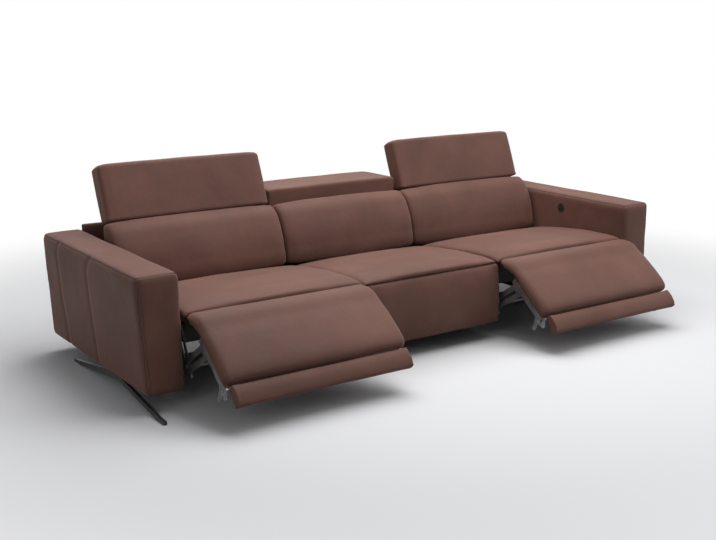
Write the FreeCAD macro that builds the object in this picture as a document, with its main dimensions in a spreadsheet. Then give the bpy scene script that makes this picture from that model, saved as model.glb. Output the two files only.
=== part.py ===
import FreeCAD, Part
import math
import os

import Sketcher

# Three-seat reclining sofa, modelled with both footrests out.
# X runs to the sofa's right as seen from its front, Y to its rear and Z up from the floor.
# Sizes are in millimetres and degrees. A place "ahead" is a distance in front of the seats' front seam,
# and a place "back" is a distance behind it.

doc = FreeCAD.newDocument("reclining_sofa")
sheet = doc.addObject("Spreadsheet::Sheet", "Sizes")

SIZES = (
    # overall layout
    ("sofa_width", 3000),
    ("front_line", 365.2),
    ("centre_seat_width", 804),
    ("seat_joint", 3),
    ("arm_seat_gap", 13),
    # arms
    ("arm_width", 195),
    ("arm_taper", 25),
    ("arm_height", 580),
    ("arm_underside", 82),
    ("arm_depth", 1076),
    ("arm_front_lean", 17),
    ("arm_rear_lean", 5),
    ("arm_skin", 20),
    ("arm_corner_radius", 16),
    ("arm_board", 18),
    # metal skids and feet
    ("skid_thickness", 14),
    ("skid_inset", 17),
    ("skid_front_reach", 126),
    ("skid_rear_end", 854),
    ("skid_end_height", 12),
    ("skid_web_height", 22),
    ("skid_crown_start", 330),
    ("skid_crown_length", 68),
    ("skid_pad_length", 80),
    ("glide_height", 3),
    ("foot_radius", 26),
    ("foot_side_place", 392),
    ("foot_front_place", 420),
    # base rails and partitions
    ("rear_rail_front", 600),
    ("rear_rail_depth", 40),
    ("rear_rail_low", 100),
    ("rear_rail_height", 60),
    ("partition_thickness", 18),
    ("partition_front", 30),
    ("board_thickness", 18),
    ("web_thickness", 2),
    ("web_width", 50),
    ("web_count", 5),
    # seat cushions
    ("seat_front_height", 408),
    ("seat_shoulder_depth", 130),
    ("seat_shoulder_height", 412),
    ("seat_middle_depth", 366),
    ("seat_middle_height", 399),
    ("seat_rear_depth", 650),
    ("seat_rear_height", 352),
    ("seat_underside", 302),
    ("seat_rim_underside", 346),
    ("seat_rim_depth", 350),
    ("seat_lip_underside", 380),
    ("seat_lip_depth", 60),
    ("seat_draw", 12),
    ("centre_seat_drop", 8),
    ("panel_low", 88),
    ("panel_bulge", 18),
    # back
    ("back_pivot_depth", 672),
    ("back_pivot_height", 325),
    ("back_foot_depth", 664),
    ("back_foot_height", 356),
    ("back_waist_depth", 672),
    ("back_waist_height", 440),
    ("back_chest_depth", 722),
    ("back_chest_height", 580),
    ("back_top_depth", 792),
    ("back_top_height", 648),
    ("back_neck_depth", 841),
    ("back_neck_height", 628),
    ("back_cushion_rear", 776),
    ("back_rear_top_depth", 841),
    ("back_draw", 16),
    ("back_board_top", 584),
    ("lever_length", 100),
    ("torque_bar_radius", 10),
    # rear wall
    ("wall_front", 1047),
    ("wall_thickness", 29),
    ("wall_top", 600),
    # headrests
    ("headrest_pivot_depth", 868),
    ("headrest_pivot_height", 647),
    ("headrest_lean", 22),
    ("headrest_fold", 68),
    ("headrest_thickness", 106),
    ("headrest_length", 279),
    ("headrest_pivot_up", 21),
    ("headrest_pivot_in", 65),
    ("headrest_side_inset", 18),
    ("headrest_arm_place", 150),
    ("headrest_arm_length", 120),
    ("hinge_eye_radius", 13),
    ("hinge_slot_width", 26),
    # footrest linkage, front pose
    ("edge_margin", 12),
    ("plate_thickness", 4.5),
    ("plate_gap", 0.5),
    ("eye_radius", 12),
    ("strap_radius", 9),
    ("stud_radius", 5),
    ("stud_clearance", 0.1),
    ("open_pivot_clearance", 0.8),
    ("drive_pivot_back", 145.87),
    ("drive_pivot_height", 318),
    ("swing_pivot_back", 100.8),
    ("outer_foot_back", 57.9),
    ("outer_foot_height", 129.3),
    ("inner_foot_back", 91.5),
    ("inner_foot_height", 154),
    ("swing_foot_back", 15.9),
    ("swing_foot_height", 127.8),
    ("drive_tube_up", 25),
    ("drive_tube_radius", 12),
    # footrest pad and flap
    ("knee_reach", 120),
    ("knee_height", 382),
    ("legrest_length", 287),
    ("legrest_tilt", 39.36),
    ("legrest_foam", 50),
    ("legrest_board", 12),
    ("legrest_draw", 10),
    ("outer_link_place", 95.52),
    ("inner_link_place", 50.52),
    ("link_depth", 86),
    ("bracket_end_place", 274),
    ("bracket_end_depth", 126.7),
    ("flap_gap", 5),
    ("flap_tilt", 52.8),
    ("flap_width", 88),
    ("flap_thickness", 38),
    ("flap_inset", 22),
    ("flap_pivot_along", 29.35),
    ("flap_pivot_depth", 60.9),
    ("flap_pin_along", 7),
    ("flap_pin_depth", 30.5),
    ("flap_pin_radius", 3.5),
    # steel base of each recliner
    ("side_plate_top", 338),
    ("side_plate_front", 62),
    ("side_plate_leg", 258),
    ("cross_rail_front", 268),
    ("cross_rail_depth", 40),
    ("cross_rail_low", 96),
    ("cross_rail_height", 30),
    ("beam_front", 318),
    ("beam_depth", 30),
    ("beam_low", 200),
    ("beam_height", 32),
    ("spacer_radius", 14),
    # actuators
    ("rod_radius", 8),
    ("rod_clearance", 0.4),
    ("housing_radius", 20),
    ("leg_actuator_height", 146),
    ("back_actuator_height", 226),
    ("fork_width", 26),
    ("fork_wall", 10),
    ("fork_front_play", 1.4),
    ("fork_rear_play", 2.8),
    ("motor_width", 62),
    ("motor_depth", 96),
    ("motor_height", 74),
    # control buttons
    ("control_back", 470),
    ("control_height", 500),
    ("control_radius", 24),
    ("control_plate", 2.5),
    ("button_radius", 8),
    ("button_spacing", 22),
    ("button_travel", 1.5),
    ("button_rise", 3.5),
)

for row, (alias, amount) in enumerate(SIZES, start=1):
    sheet.set("A%d" % row, alias)
    sheet.set("B%d" % row, str(amount))
    sheet.setAlias("B%d" % row, alias)
doc.recompute()

HALF_CENTRE = "(Sizes.centre_seat_width / 2)"
HALF_SOFA = "(Sizes.sofa_width / 2)"
ARM_FACE = "(%s - Sizes.arm_width)" % HALF_SOFA
SEAT_EDGE = "(%s - Sizes.arm_seat_gap)" % ARM_FACE
SIDES = (("left", -1), ("right", 1))
NODES = []


def size(alias):
    """The number in one cell of the sheet."""
    return float(sheet.get(alias))


def number(expression):
    """What an expression on the sheet comes to."""
    result = sheet.evalExpression(str(expression))
    return float(getattr(result, "Value", result))


def ahead(expression):
    """The Y of a place in front of the seats' front seam."""
    return "(-Sizes.front_line - (%s))" % expression


def back(expression):
    """The Y of a place behind the seats' front seam."""
    return "(-Sizes.front_line + (%s))" % expression


def node(label, *parts):
    """Names a sub-part, which is one object or a group of separate solids."""
    if len(parts) == 1:
        item = parts[0]
    else:
        item = doc.addObject("Part::Compound", "Group")
        item.Links = list(parts)
    item.Label = label
    NODES.append(item)
    return item


def place(item, x, y, z):
    """Ties an object's place to the sheet."""
    item.setExpression("Placement.Base.x", x)
    item.setExpression("Placement.Base.y", y)
    item.setExpression("Placement.Base.z", z)


def block(x, y, z, length, width, height):
    """A plain block from its low corner."""
    item = doc.addObject("Part::Box", "Block")
    item.setExpression("Length", length)
    item.setExpression("Width", width)
    item.setExpression("Height", height)
    place(item, x, y, z)
    return item


def round_bar(x, y, z, radius, length, direction):
    """A round bar that runs along X, Y or Z from its low end."""
    turns = {
        "X": FreeCAD.Rotation(FreeCAD.Vector(0, 1, 0), 90),
        "Y": FreeCAD.Rotation(FreeCAD.Vector(1, 0, 0), -90),
        "Z": FreeCAD.Rotation(),
    }
    item = doc.addObject("Part::Cylinder", "Bar")
    item.setExpression("Radius", radius)
    item.setExpression("Height", length)
    item.Placement = FreeCAD.Placement(FreeCAD.Vector(), turns[direction])
    place(item, x, y, z)
    return item


def cut(base, tool):
    """One object less another."""
    item = doc.addObject("Part::Cut", "Cut")
    item.Base = base
    item.Tool = tool
    return item


def fused(*parts):
    """Several objects made one solid."""
    item = doc.addObject("Part::MultiFuse", "Joined")
    item.Shapes = list(parts)
    item.Refine = True
    return item


def new_sketch(body, role, offset):
    """A sketch on one of a body's own planes, moved along that plane's normal."""
    plane = next(p for p in body.Origin.OriginFeatures if p.Role == role)
    sketch = body.newObject("Sketcher::SketchObject", "Sketch")
    sketch.AttachmentSupport = [(plane, "")]
    sketch.MapMode = "FlatFace"
    sketch.setExpression("AttachmentOffset.Base.z", offset)
    return sketch


def pin_point(sketch, geometry, end, across, up):
    """Ties a point of a sketch to the sheet."""
    for kind, expression in (("DistanceX", across), ("DistanceY", up)):
        index = sketch.addConstraint(
            Sketcher.Constraint(kind, -1, 1, geometry, end, number(expression))
        )
        sketch.setExpression("Constraints[%d]" % index, expression)


def outline(sketch, corners):
    """A closed outline of straight sides through pairs of expressions."""
    points = [FreeCAD.Vector(number(a), number(b), 0) for a, b in corners]
    first = sketch.GeometryCount
    count = len(points)
    for index in range(count):
        sketch.addGeometry(Part.LineSegment(points[index], points[(index + 1) % count]), False)
    for index in range(count):
        sketch.addConstraint(
            Sketcher.Constraint("Coincident", first + index, 2, first + (index + 1) % count, 1)
        )
    for index, (across, up) in enumerate(corners):
        pin_point(sketch, first + index, 1, across, up)


def eye(sketch, centre, radius):
    """A circle about a pair of expressions."""
    middle = FreeCAD.Vector(number(centre[0]), number(centre[1]), 0)
    index = sketch.addGeometry(Part.Circle(middle, FreeCAD.Vector(0, 0, 1), number(radius)), False)
    pin_point(sketch, index, 3, *centre)
    rule = sketch.addConstraint(Sketcher.Constraint("Radius", index, number(radius)))
    sketch.setExpression("Constraints[%d]" % rule, radius)


def strap(sketch, start, end, radius):
    """The outline of a bar with round ends about two pairs of expressions."""
    a = FreeCAD.Vector(number(start[0]), number(start[1]), 0)
    b = FreeCAD.Vector(number(end[0]), number(end[1]), 0)
    reach = number(radius)
    turn = math.atan2(b.y - a.y, b.x - a.x)
    side = FreeCAD.Vector(-math.sin(turn), math.cos(turn), 0) * reach
    up = FreeCAD.Vector(0, 0, 1)
    quarter = math.pi / 2
    near = sketch.addGeometry(
        Part.ArcOfCircle(Part.Circle(a, up, reach), turn + quarter, turn + 3 * quarter), False
    )
    low = sketch.addGeometry(Part.LineSegment(a - side, b - side), False)
    far = sketch.addGeometry(
        Part.ArcOfCircle(Part.Circle(b, up, reach), turn - quarter, turn + quarter), False
    )
    high = sketch.addGeometry(Part.LineSegment(b + side, a + side), False)
    for one, one_end, other, other_end in (
        (near, 2, low, 1),
        (low, 2, far, 1),
        (far, 2, high, 1),
        (high, 2, near, 1),
    ):
        sketch.addConstraint(Sketcher.Constraint("Tangent", one, one_end, other, other_end))
    pin_point(sketch, near, 3, *start)
    pin_point(sketch, far, 3, *end)
    rule = sketch.addConstraint(Sketcher.Constraint("Radius", near, reach))
    sketch.setExpression("Constraints[%d]" % rule, radius)


def new_body():
    return doc.addObject("PartDesign::Body", "Body")


def pad(body, sketch, length):
    """Material on a sketch, along its plane's normal."""
    item = body.newObject("PartDesign::Pad", "Pad")
    item.Profile = sketch
    item.setExpression("Length", length)
    sketch.Visibility = False
    return item


def hole_through(body, sketch):
    """Takes a sketch out of the whole body, and makes sure that something went."""
    doc.recompute()
    before = body.Shape.Volume
    item = body.newObject("PartDesign::Pocket", "Pocket")
    item.Profile = sketch
    item.Type = "ThroughAll"
    item.Midplane = True
    doc.recompute()
    if not body.Shape.Volume < before:
        raise RuntimeError("a hole took nothing out")
    return item


def plate(low_x, thickness, straps, areas=(), holes=(), studs=()):
    """A flat steel plate in a YZ plane.

    straps are (start, end, radius), areas are outlines, holes are (centre, radius) and studs are
    (centre, radius, low x, length) of rivets made with the plate.
    """
    body = new_body()
    for corners in areas:
        sketch = new_sketch(body, "YZ_Plane", low_x)
        outline(sketch, corners)
        pad(body, sketch, thickness)
    for start, end, radius in straps:
        sketch = new_sketch(body, "YZ_Plane", low_x)
        strap(sketch, start, end, radius)
        pad(body, sketch, thickness)
    if holes:
        sketch = new_sketch(body, "YZ_Plane", low_x)
        for centre, radius in holes:
            eye(sketch, centre, radius)
        hole_through(body, sketch)
    for centre, radius, stud_low, length in studs:
        sketch = new_sketch(body, "YZ_Plane", stud_low)
        eye(sketch, centre, radius)
        pad(body, sketch, length)
    return body


def profile(low_x, length, corners):
    """A solid of one side outline, from low_x along X."""
    body = new_body()
    sketch = new_sketch(body, "YZ_Plane", low_x)
    outline(sketch, corners)
    pad(body, sketch, length)
    return body


LEAST_BOW = 0.8


# Soft forms. Each is a loft through side outlines of lines and arcs, small at both ends and fullest
# in the middle, so that the cushion is crowned and its sides are drawn in.
def sagitta(first, middle, last):
    """How far a point stands to the left of the line between two others."""
    chord = (last[0] - first[0], last[1] - first[1])
    reach = (middle[0] - first[0], middle[1] - first[1])
    return (chord[0] * reach[1] - chord[1] * reach[0]) / math.hypot(*chord)


def soft_outline(points, x, inset):
    """A closed wire in the plane at x, of lines and arcs.

    points are (y, z, share) in turn a corner and the middle of the edge after it. A corner moves in
    by its share of the inset, and the middle keeps its bow.
    """
    count = len(points)
    corners = []
    for index in range(0, count, 2):
        before = points[index - 2]
        here = points[index]
        after = points[(index + 2) % count]
        along = FreeCAD.Vector(0, after[0] - before[0], after[1] - before[1])
        along.normalize()
        inward = FreeCAD.Vector(0, -along.z, along.y)
        corners.append(FreeCAD.Vector(x, here[0], here[1]) + inward * (inset * here[2]))
    edges = []
    for step, start in enumerate(corners):
        end = corners[(step + 1) % len(corners)]
        first = points[2 * step]
        middle = points[2 * step + 1]
        last = points[(2 * step + 2) % count]
        bow = sagitta(first, middle, last)
        if abs(bow) > LEAST_BOW:
            chord = end - start
            across = FreeCAD.Vector(0, -chord.z, chord.y).normalize()
            edges.append(Part.Arc(start, (start + end) / 2 + across * bow, end).toShape())
        else:
            edges.append(Part.makeLine(start, end))
    return Part.Wire(edges)


def soft_solid(points, low_x, high_x, draw, crown):
    """A crowned solid between two X places. points run anticlockwise as seen from +X."""
    width = high_x - low_x
    stations = (
        (0.0, draw),
        (0.016, draw * 0.35),
        (0.055, 0.0),
        (0.28, -crown * 0.75),
        (0.5, -crown),
        (0.72, -crown * 0.75),
        (0.945, 0.0),
        (0.984, draw * 0.35),
        (1.0, draw),
    )
    wires = [soft_outline(points, low_x + width * share, inset) for share, inset in stations]
    return Part.makeLoft(wires, True, True)


def soft_part(label, shape):
    """A cushion's object."""
    item = doc.addObject("Part::Feature", "Soft")
    item.Shape = shape
    return node(label, item)


def side_range(hand, inset_alias=None, extra=0.0):
    """The low and high X of what fills one side seat."""
    near = size("centre_seat_width") / 2 + size("seat_joint") / 2
    far = number(SEAT_EDGE)
    inset = extra + (size(inset_alias) if inset_alias else 0.0)
    ends = sorted((hand * (near + inset), hand * (far - inset)))
    return ends[0], ends[1]


def centre_range(extra=0.0):
    """The low and high X of what fills the centre seat."""
    reach = size("centre_seat_width") / 2 - size("seat_joint") / 2 - extra
    return -reach, reach


def side_plane(hand, outer, offset, thickness):
    """The low X of a plate that stands offset in from a side seat's inner or outer edge."""
    if outer:
        near = "(%s - (%s) - (%s))" % (SEAT_EDGE, offset, thickness)
    else:
        near = "(%s + (%s))" % (HALF_CENTRE, offset)
    if hand > 0:
        return near
    return "(-(%s) - (%s))" % (near, thickness)


def layer(index):
    """How far one of the linkage's plates stands in from the seat's edge."""
    return "(Sizes.edge_margin + %d * (Sizes.plate_thickness + Sizes.plate_gap))" % index


HINGE_LAYER, NECK_LAYER, BRACKET_LAYER, LINK_LAYER, DRIVE_LAYER, BASE_LAYER = range(-1, 5)
STEEL = "Sizes.plate_thickness"
TWO_PLATES = "(2 * Sizes.plate_thickness + Sizes.plate_gap)"


# Arms: a hollow upholstered cover over a board frame, which stands on the skid.
def arm_block(hand, inset, high):
    """An arm's tapered block: its outer face leans out and its ends lean in towards the top."""
    item = doc.addObject("Part::Wedge", "Taper")
    inner = "(%s + (%s))" % (ARM_FACE, inset)
    outer_low = "(%s - Sizes.arm_taper - (%s))" % (HALF_SOFA, inset)
    outer_high = "(%s - (%s))" % (HALF_SOFA, inset)
    if hand > 0:
        across = (inner, outer_low, inner, outer_high)
    else:
        across = tuple("(-%s)" % name for name in (outer_low, inner, outer_high, inner))
    front_low = "(%s + (%s))" % (ahead("Sizes.arm_front_lean"), inset)
    front_high = "(%s + (%s))" % (ahead("0"), inset)
    rear_low = "(%s - (%s))" % (back("Sizes.arm_depth + Sizes.arm_rear_lean"), inset)
    rear_high = "(%s - (%s))" % (back("Sizes.arm_depth"), inset)
    # The wedge narrows along its own Y, which is turned up to Z, so its own Z runs forward.
    for name, expression in (
        ("Xmin", across[0]),
        ("Xmax", across[1]),
        ("X2min", across[2]),
        ("X2max", across[3]),
        ("Ymin", "Sizes.arm_underside"),
        ("Ymax", high),
        ("Zmin", "(-%s)" % rear_low),
        ("Zmax", "(-%s)" % front_low),
        ("Z2min", "(-%s)" % rear_high),
        ("Z2max", "(-%s)" % front_high),
    ):
        item.setExpression(name, expression)
    turn = FreeCAD.Rotation(FreeCAD.Vector(1, 0, 0), 90)
    item.Placement = FreeCAD.Placement(FreeCAD.Vector(), turn)
    return item


arm_covers = []
for side, hand in SIDES:
    outside = arm_block(hand, "0", "Sizes.arm_height")
    doc.recompute()
    radius = size("arm_corner_radius")
    tall = 0.9 * (size("arm_height") - size("arm_underside"))
    rounded = []
    for index, edge in enumerate(outside.Shape.Edges, start=1):
        box = edge.BoundBox
        if box.ZLength > tall or box.ZMin > size("arm_height") - 1:
            rounded.append((index, radius, radius))
    rounding = doc.addObject("Part::Fillet", "Rounding")
    rounding.Base = outside
    rounding.Edges = rounded
    hollow = arm_block(hand, "Sizes.arm_skin", "(Sizes.arm_height - Sizes.arm_skin)")
    arm_covers.append(cut(rounding, hollow))
node("arm_covers", *arm_covers)

# The arm's frame is a box of boards: two long rails, and three uprights between them, each as wide
# as the hollow of the cover at its foot.
arm_frames = []
for side, hand in SIDES:
    inner = "(%s + Sizes.arm_skin)" % ARM_FACE
    width = "(Sizes.arm_width - 2 * Sizes.arm_skin - Sizes.arm_taper)"
    low_x = inner if hand > 0 else "(-%s - %s)" % (inner, width)
    front = back("Sizes.arm_skin")
    depth = "(Sizes.arm_depth - 2 * Sizes.arm_skin)"
    low_z = "Sizes.arm_underside"
    high_z = "(Sizes.arm_height - Sizes.arm_skin - Sizes.arm_board)"
    rise = "(%s - %s - Sizes.arm_board)" % (high_z, low_z)
    pieces = [
        block(low_x, front, low_z, width, depth, "Sizes.arm_board"),
        block(low_x, front, high_z, width, depth, "Sizes.arm_board"),
    ]
    for step in range(5):
        upright_y = "(%s + %d * (%s - Sizes.arm_board) / 4)" % (front, step, depth)
        upright_z = "(%s + Sizes.arm_board)" % low_z
        pieces.append(block(low_x, upright_y, upright_z, width, "Sizes.arm_board", rise))
    arm_frames.append(fused(*pieces))
node("arm_frames", *arm_frames)

# Skids: one flat steel profile under each arm, highest where it is bolted to the arm.
skids = []
glides = []
for side, hand in SIDES:
    outer = "(%s - Sizes.arm_taper - Sizes.skid_inset)" % HALF_SOFA
    low_x = "(%s - Sizes.skid_thickness)" % outer if hand > 0 else "(-%s)" % outer
    front_end = ahead("Sizes.skid_front_reach")
    rear_end = back("Sizes.skid_rear_end")
    crown_front = back("Sizes.skid_crown_start")
    crown_rear = back("Sizes.skid_crown_start + Sizes.skid_crown_length")
    high = "Sizes.arm_underside"
    end_top = "(Sizes.glide_height + Sizes.skid_end_height)"
    skids.append(
        profile(
            low_x,
            "Sizes.skid_thickness",
            (
                (front_end, "Sizes.glide_height"),
                ("(%s + Sizes.skid_pad_length)" % front_end, "Sizes.glide_height"),
                (crown_front, "(%s - Sizes.skid_web_height)" % high),
                (crown_rear, "(%s - Sizes.skid_web_height)" % high),
                ("(%s - Sizes.skid_pad_length)" % rear_end, "Sizes.glide_height"),
                (rear_end, "Sizes.glide_height"),
                (rear_end, end_top),
                ("(%s - Sizes.skid_pad_length / 2)" % rear_end, "(%s + 2)" % end_top),
                (crown_rear, high),
                (crown_front, high),
                ("(%s + Sizes.skid_pad_length / 2)" % front_end, "(%s + 2)" % end_top),
                (front_end, end_top),
            ),
        )
    )
    for low_y in (front_end, "(%s - Sizes.skid_pad_length)" % rear_end):
        glides.append(
            block(
                low_x,
                low_y,
                "0",
                "Sizes.skid_thickness",
                "Sizes.skid_pad_length",
                "Sizes.glide_height",
            )
        )
node("skids", *skids)

# Timber base: the rear rail between the arms, the panels between the seats and four round feet.
rail_length = "(2 * %s)" % ARM_FACE
rear_rail = block(
    "(-%s)" % ARM_FACE,
    back("Sizes.rear_rail_front"),
    "Sizes.rear_rail_low",
    rail_length,
    "Sizes.rear_rail_depth",
    "Sizes.rear_rail_height",
)

partitions = []
feet = []
for side, hand in SIDES:
    outer = "(%s - 2)" % HALF_CENTRE
    low_x = "(%s - Sizes.partition_thickness)" % outer if hand > 0 else "(-%s)" % outer
    notch_low = "(Sizes.rear_rail_low + Sizes.rear_rail_height)"
    rear = back("Sizes.seat_rear_depth - 10")
    partitions.append(
        profile(
            low_x,
            "Sizes.partition_thickness",
            (
                (back("Sizes.partition_front"), "Sizes.rear_rail_low"),
                (back("Sizes.rear_rail_front"), "Sizes.rear_rail_low"),
                (back("Sizes.rear_rail_front"), notch_low),
                (rear, notch_low),
                (rear, "Sizes.seat_underside - Sizes.web_thickness"),
                (back("Sizes.partition_front"), "Sizes.seat_underside - Sizes.web_thickness"),
            ),
        )
    )
    foot_x = "(%d * Sizes.foot_side_place)" % hand
    rear_foot = back("Sizes.rear_rail_front + Sizes.rear_rail_depth / 2")
    for foot_y in (back("Sizes.foot_front_place"), rear_foot):
        feet.append(round_bar(foot_x, foot_y, "0", "Sizes.foot_radius", "Sizes.rear_rail_low", "Z"))
node("feet", *(glides + feet))

# Centre seat box: a front board behind the padded panel and a rear board.
centre_inner = "(%s - 2 - Sizes.partition_thickness)" % HALF_CENTRE
centre_boards = []
for low_y in (
    back("Sizes.partition_front"),
    back("Sizes.seat_rear_depth - 10 - Sizes.board_thickness"),
):
    centre_boards.append(
        block(
            "(-%s)" % centre_inner,
            low_y,
            "(Sizes.seat_underside - Sizes.web_thickness - 120)",
            "(2 * %s)" % centre_inner,
            "Sizes.board_thickness",
            "120",
        )
    )


# Two posts carry the fixed centre back from the rear rail.
back_posts = []
post_front = back("Sizes.rear_rail_front + Sizes.rear_rail_depth")
for post_x in ("(-%s)" % centre_inner, "(%s - Sizes.board_thickness)" % centre_inner):
    back_posts.append(
        profile(
            post_x,
            "Sizes.board_thickness",
            (
                (post_front, "Sizes.rear_rail_low"),
                ("(%s + 80)" % post_front, "Sizes.rear_rail_low"),
                (
                    back("Sizes.back_cushion_rear + Sizes.board_thickness"),
                    "(Sizes.back_foot_height - 16)",
                ),
                (back("Sizes.back_cushion_rear + Sizes.board_thickness"), "Sizes.back_foot_height"),
                (back("Sizes.back_cushion_rear"), "Sizes.back_foot_height"),
                ("(%s + 24)" % post_front, "(Sizes.seat_underside - 22)"),
                (post_front, "(Sizes.seat_underside - 22)"),
            ),
        )
    )


def panel_outline():
    """The bulging front panel's side outline."""
    front = -size("front_line")
    rear = front + size("partition_front")
    low = size("panel_low")
    high = size("seat_lip_underside") + 3.4
    bulge = size("panel_bulge")
    middle = (low + high) / 2
    return (
        (rear, low, 0.0),
        (rear, middle, 0.0),
        (rear, high, 0.0),
        ((rear + front) / 2 + 2, high, 0.3),
        (front + 4, high, 1.0),
        (front - bulge, middle, 1.0),
        (front - bulge + 4, low, 1.0),
        ((rear + front - bulge) / 2, low, 0.0),
    )


def reversed_outline(points):
    """The same outline run the other way, still starting at a corner."""
    return (points[0],) + tuple(reversed(points[1:]))


centre_low, centre_high = centre_range()
soft_part(
    "centre_front_panel",
    soft_solid(reversed_outline(panel_outline()), centre_low, centre_high, 6, 0.5),
)


# Seat cushions. The side seats' rims stay above the linkage, whose plates run beside the boards.
def seat_top(drop):
    """The top of a seat from front to rear, as points a quarter of the way and so on."""
    front = -size("front_line")
    return (
        (front + size("seat_rear_depth"), size("seat_rear_height") - drop * 0.3, 1.0),
        (front + size("seat_rear_depth") * 0.79, size("seat_rear_height") + 30 - drop * 0.6, 0.7),
        (front + size("seat_middle_depth"), size("seat_middle_height") - drop, 0.7),
        (front + size("seat_middle_depth") * 0.66, size("seat_middle_height") + 10 - drop, 0.7),
        (front + size("seat_shoulder_depth"), size("seat_shoulder_height") - drop, 0.7),
        (front + size("seat_shoulder_depth") * 0.4, size("seat_shoulder_height") + 1 - drop, 0.8),
        (front + 3, size("seat_front_height") - drop, 1.0),
    )


def seat_bottom(lip, rim):
    """The underside from the front lip to the rear."""
    front = -size("front_line")
    lip_end = front + size("seat_lip_depth")
    rim_end = front + size("seat_rim_depth")
    rear = front + size("seat_rear_depth")
    floor = size("seat_underside")
    return (
        (front + 1, (lip + size("seat_front_height")) / 2, 0.8),
        (front + 3, lip, 0.0),
        ((front + lip_end) / 2, lip, 0.0),
        (lip_end, lip, 0.0),
        (lip_end + 6, (lip + rim) / 2, 0.0),
        (lip_end + 12, rim, 0.0),
        ((lip_end + rim_end) / 2, rim, 0.0),
        (rim_end, rim, 0.0),
        (rim_end + 6, (rim + floor) / 2, 0.0),
        (rim_end + 12, floor, 0.0),
        ((rim_end + rear) / 2, floor, 0.0),
        (rear, floor, 0.0),
        (rear + 2, (floor + size("seat_rear_height")) / 2, 0.0),
    )


def seat_solid(low_x, high_x, drop, lip, rim):
    points = seat_top(drop) + seat_bottom(lip, rim)
    return soft_solid(points, low_x, high_x, size("seat_draw"), 7)


side_cushions = []
for side, hand in SIDES:
    low_x, high_x = side_range(hand)
    rim_solid = seat_solid(
        low_x, high_x, 0, size("seat_lip_underside"), size("seat_rim_underside")
    )
    board_edge = number(layer(BASE_LAYER + 1)) + 2
    core_front = -size("front_line") + size("seat_lip_depth") + 46
    core = Part.makeBox(
        high_x - low_x - 2 * board_edge,
        size("seat_rim_depth") - size("seat_lip_depth") - 36,
        size("seat_rim_underside") - size("seat_underside") + 4,
        FreeCAD.Vector(low_x + board_edge, core_front, size("seat_underside")),
    )
    side_cushions.append(rim_solid.fuse(core).removeSplitter())
soft_part("seat_cushions_side", Part.makeCompound(side_cushions))
soft_part(
    "seat_cushion_centre",
    seat_solid(
        centre_low,
        centre_high,
        size("centre_seat_drop"),
        size("seat_lip_underside") + 4,
        size("seat_underside") + 20,
    ),
)


# Backs. A padded cushion on a board, on a steel frame that turns about the recline pivots.
def back_outline():
    """The back cushion's side outline."""
    front = -size("front_line")
    foot = (front + size("back_foot_depth"), size("back_foot_height"), 1.0)
    waist = (front + size("back_waist_depth"), size("back_waist_height"), 1.0)
    chest = (front + size("back_chest_depth"), size("back_chest_height"), 1.0)
    top = (front + size("back_top_depth"), size("back_top_height"), 1.0)
    neck = (front + size("back_neck_depth"), size("back_neck_height"), 0.3)
    rear_top = (front + size("back_rear_top_depth"), size("back_board_top"), 0.0)
    rear_foot = (front + size("back_cushion_rear"), size("back_foot_height"), 0.0)
    return (
        foot,
        ((foot[0] + rear_foot[0]) / 2, foot[1], 0.0),
        rear_foot,
        ((rear_foot[0] + rear_top[0]) / 2, (rear_foot[1] + rear_top[1]) / 2, 0.0),
        rear_top,
        (neck[0], (neck[1] + rear_top[1]) / 2, 0.0),
        neck,
        ((neck[0] + top[0]) / 2, (neck[1] + top[1]) / 2 + 1, 0.5),
        top,
        ((chest[0] + top[0]) / 2 - 6, (chest[1] + top[1]) / 2 + 6, 1.0),
        chest,
        ((waist[0] + chest[0]) / 2 - 8, (waist[1] + chest[1]) / 2, 1.0),
        waist,
        (foot[0] - 1, (foot[1] + waist[1]) / 2, 1.0),
    )


BOARD_FOOT = ("Sizes.back_cushion_rear", "Sizes.back_foot_height")
BOARD_TOP = ("Sizes.back_rear_top_depth", "Sizes.back_board_top")


def back_board(low_x, length):
    """The board behind a back cushion, along the cushion's straight rear face."""
    return profile(
        low_x,
        length,
        (
            (back(BOARD_FOOT[0]), BOARD_FOOT[1]),
            (back("%s + Sizes.board_thickness" % BOARD_FOOT[0]), BOARD_FOOT[1]),
            (back("%s + Sizes.board_thickness" % BOARD_TOP[0]), BOARD_TOP[1]),
            (back(BOARD_TOP[0]), BOARD_TOP[1]),
        ),
    )


HINGE = (back("Sizes.headrest_pivot_depth"), "Sizes.headrest_pivot_height")
HINGE_STEEL = "Sizes.plate_thickness"


def hinge_ear(low_x):
    """A fixed hinge ear on the back board's rear face, with its pin."""
    foot = (back("Sizes.headrest_pivot_depth"), "(Sizes.headrest_pivot_height - 56)")
    slope = "((%s - %s) / (%s - %s))" % (BOARD_TOP[0], BOARD_FOOT[0], BOARD_TOP[1], BOARD_FOOT[1])
    rear = back("Sizes.headrest_pivot_depth + Sizes.hinge_eye_radius")
    fixing = (
        (
            back("%s + Sizes.board_thickness - 60 * %s" % (BOARD_TOP[0], slope)),
            "(Sizes.back_board_top - 60)",
        ),
        (rear, "(Sizes.back_board_top - 60)"),
        (rear, "(Sizes.back_board_top + 8)"),
        (back("%s + Sizes.board_thickness" % BOARD_TOP[0]), "(Sizes.back_board_top + 8)"),
        (back("%s + Sizes.board_thickness" % BOARD_TOP[0]), "Sizes.back_board_top"),
    )
    return plate(
        low_x,
        HINGE_STEEL,
        straps=((foot, HINGE, "Sizes.hinge_eye_radius"),),
        areas=(fixing,),
        studs=((HINGE, "Sizes.stud_radius", low_x, TWO_PLATES),),
    )


def hinge_places(low, high):
    """The low X of each of a headrest's two hinges."""
    return (
        "(%s + Sizes.headrest_arm_place)" % low,
        "(%s - Sizes.headrest_arm_place - Sizes.hinge_slot_width)" % high,
    )


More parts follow.
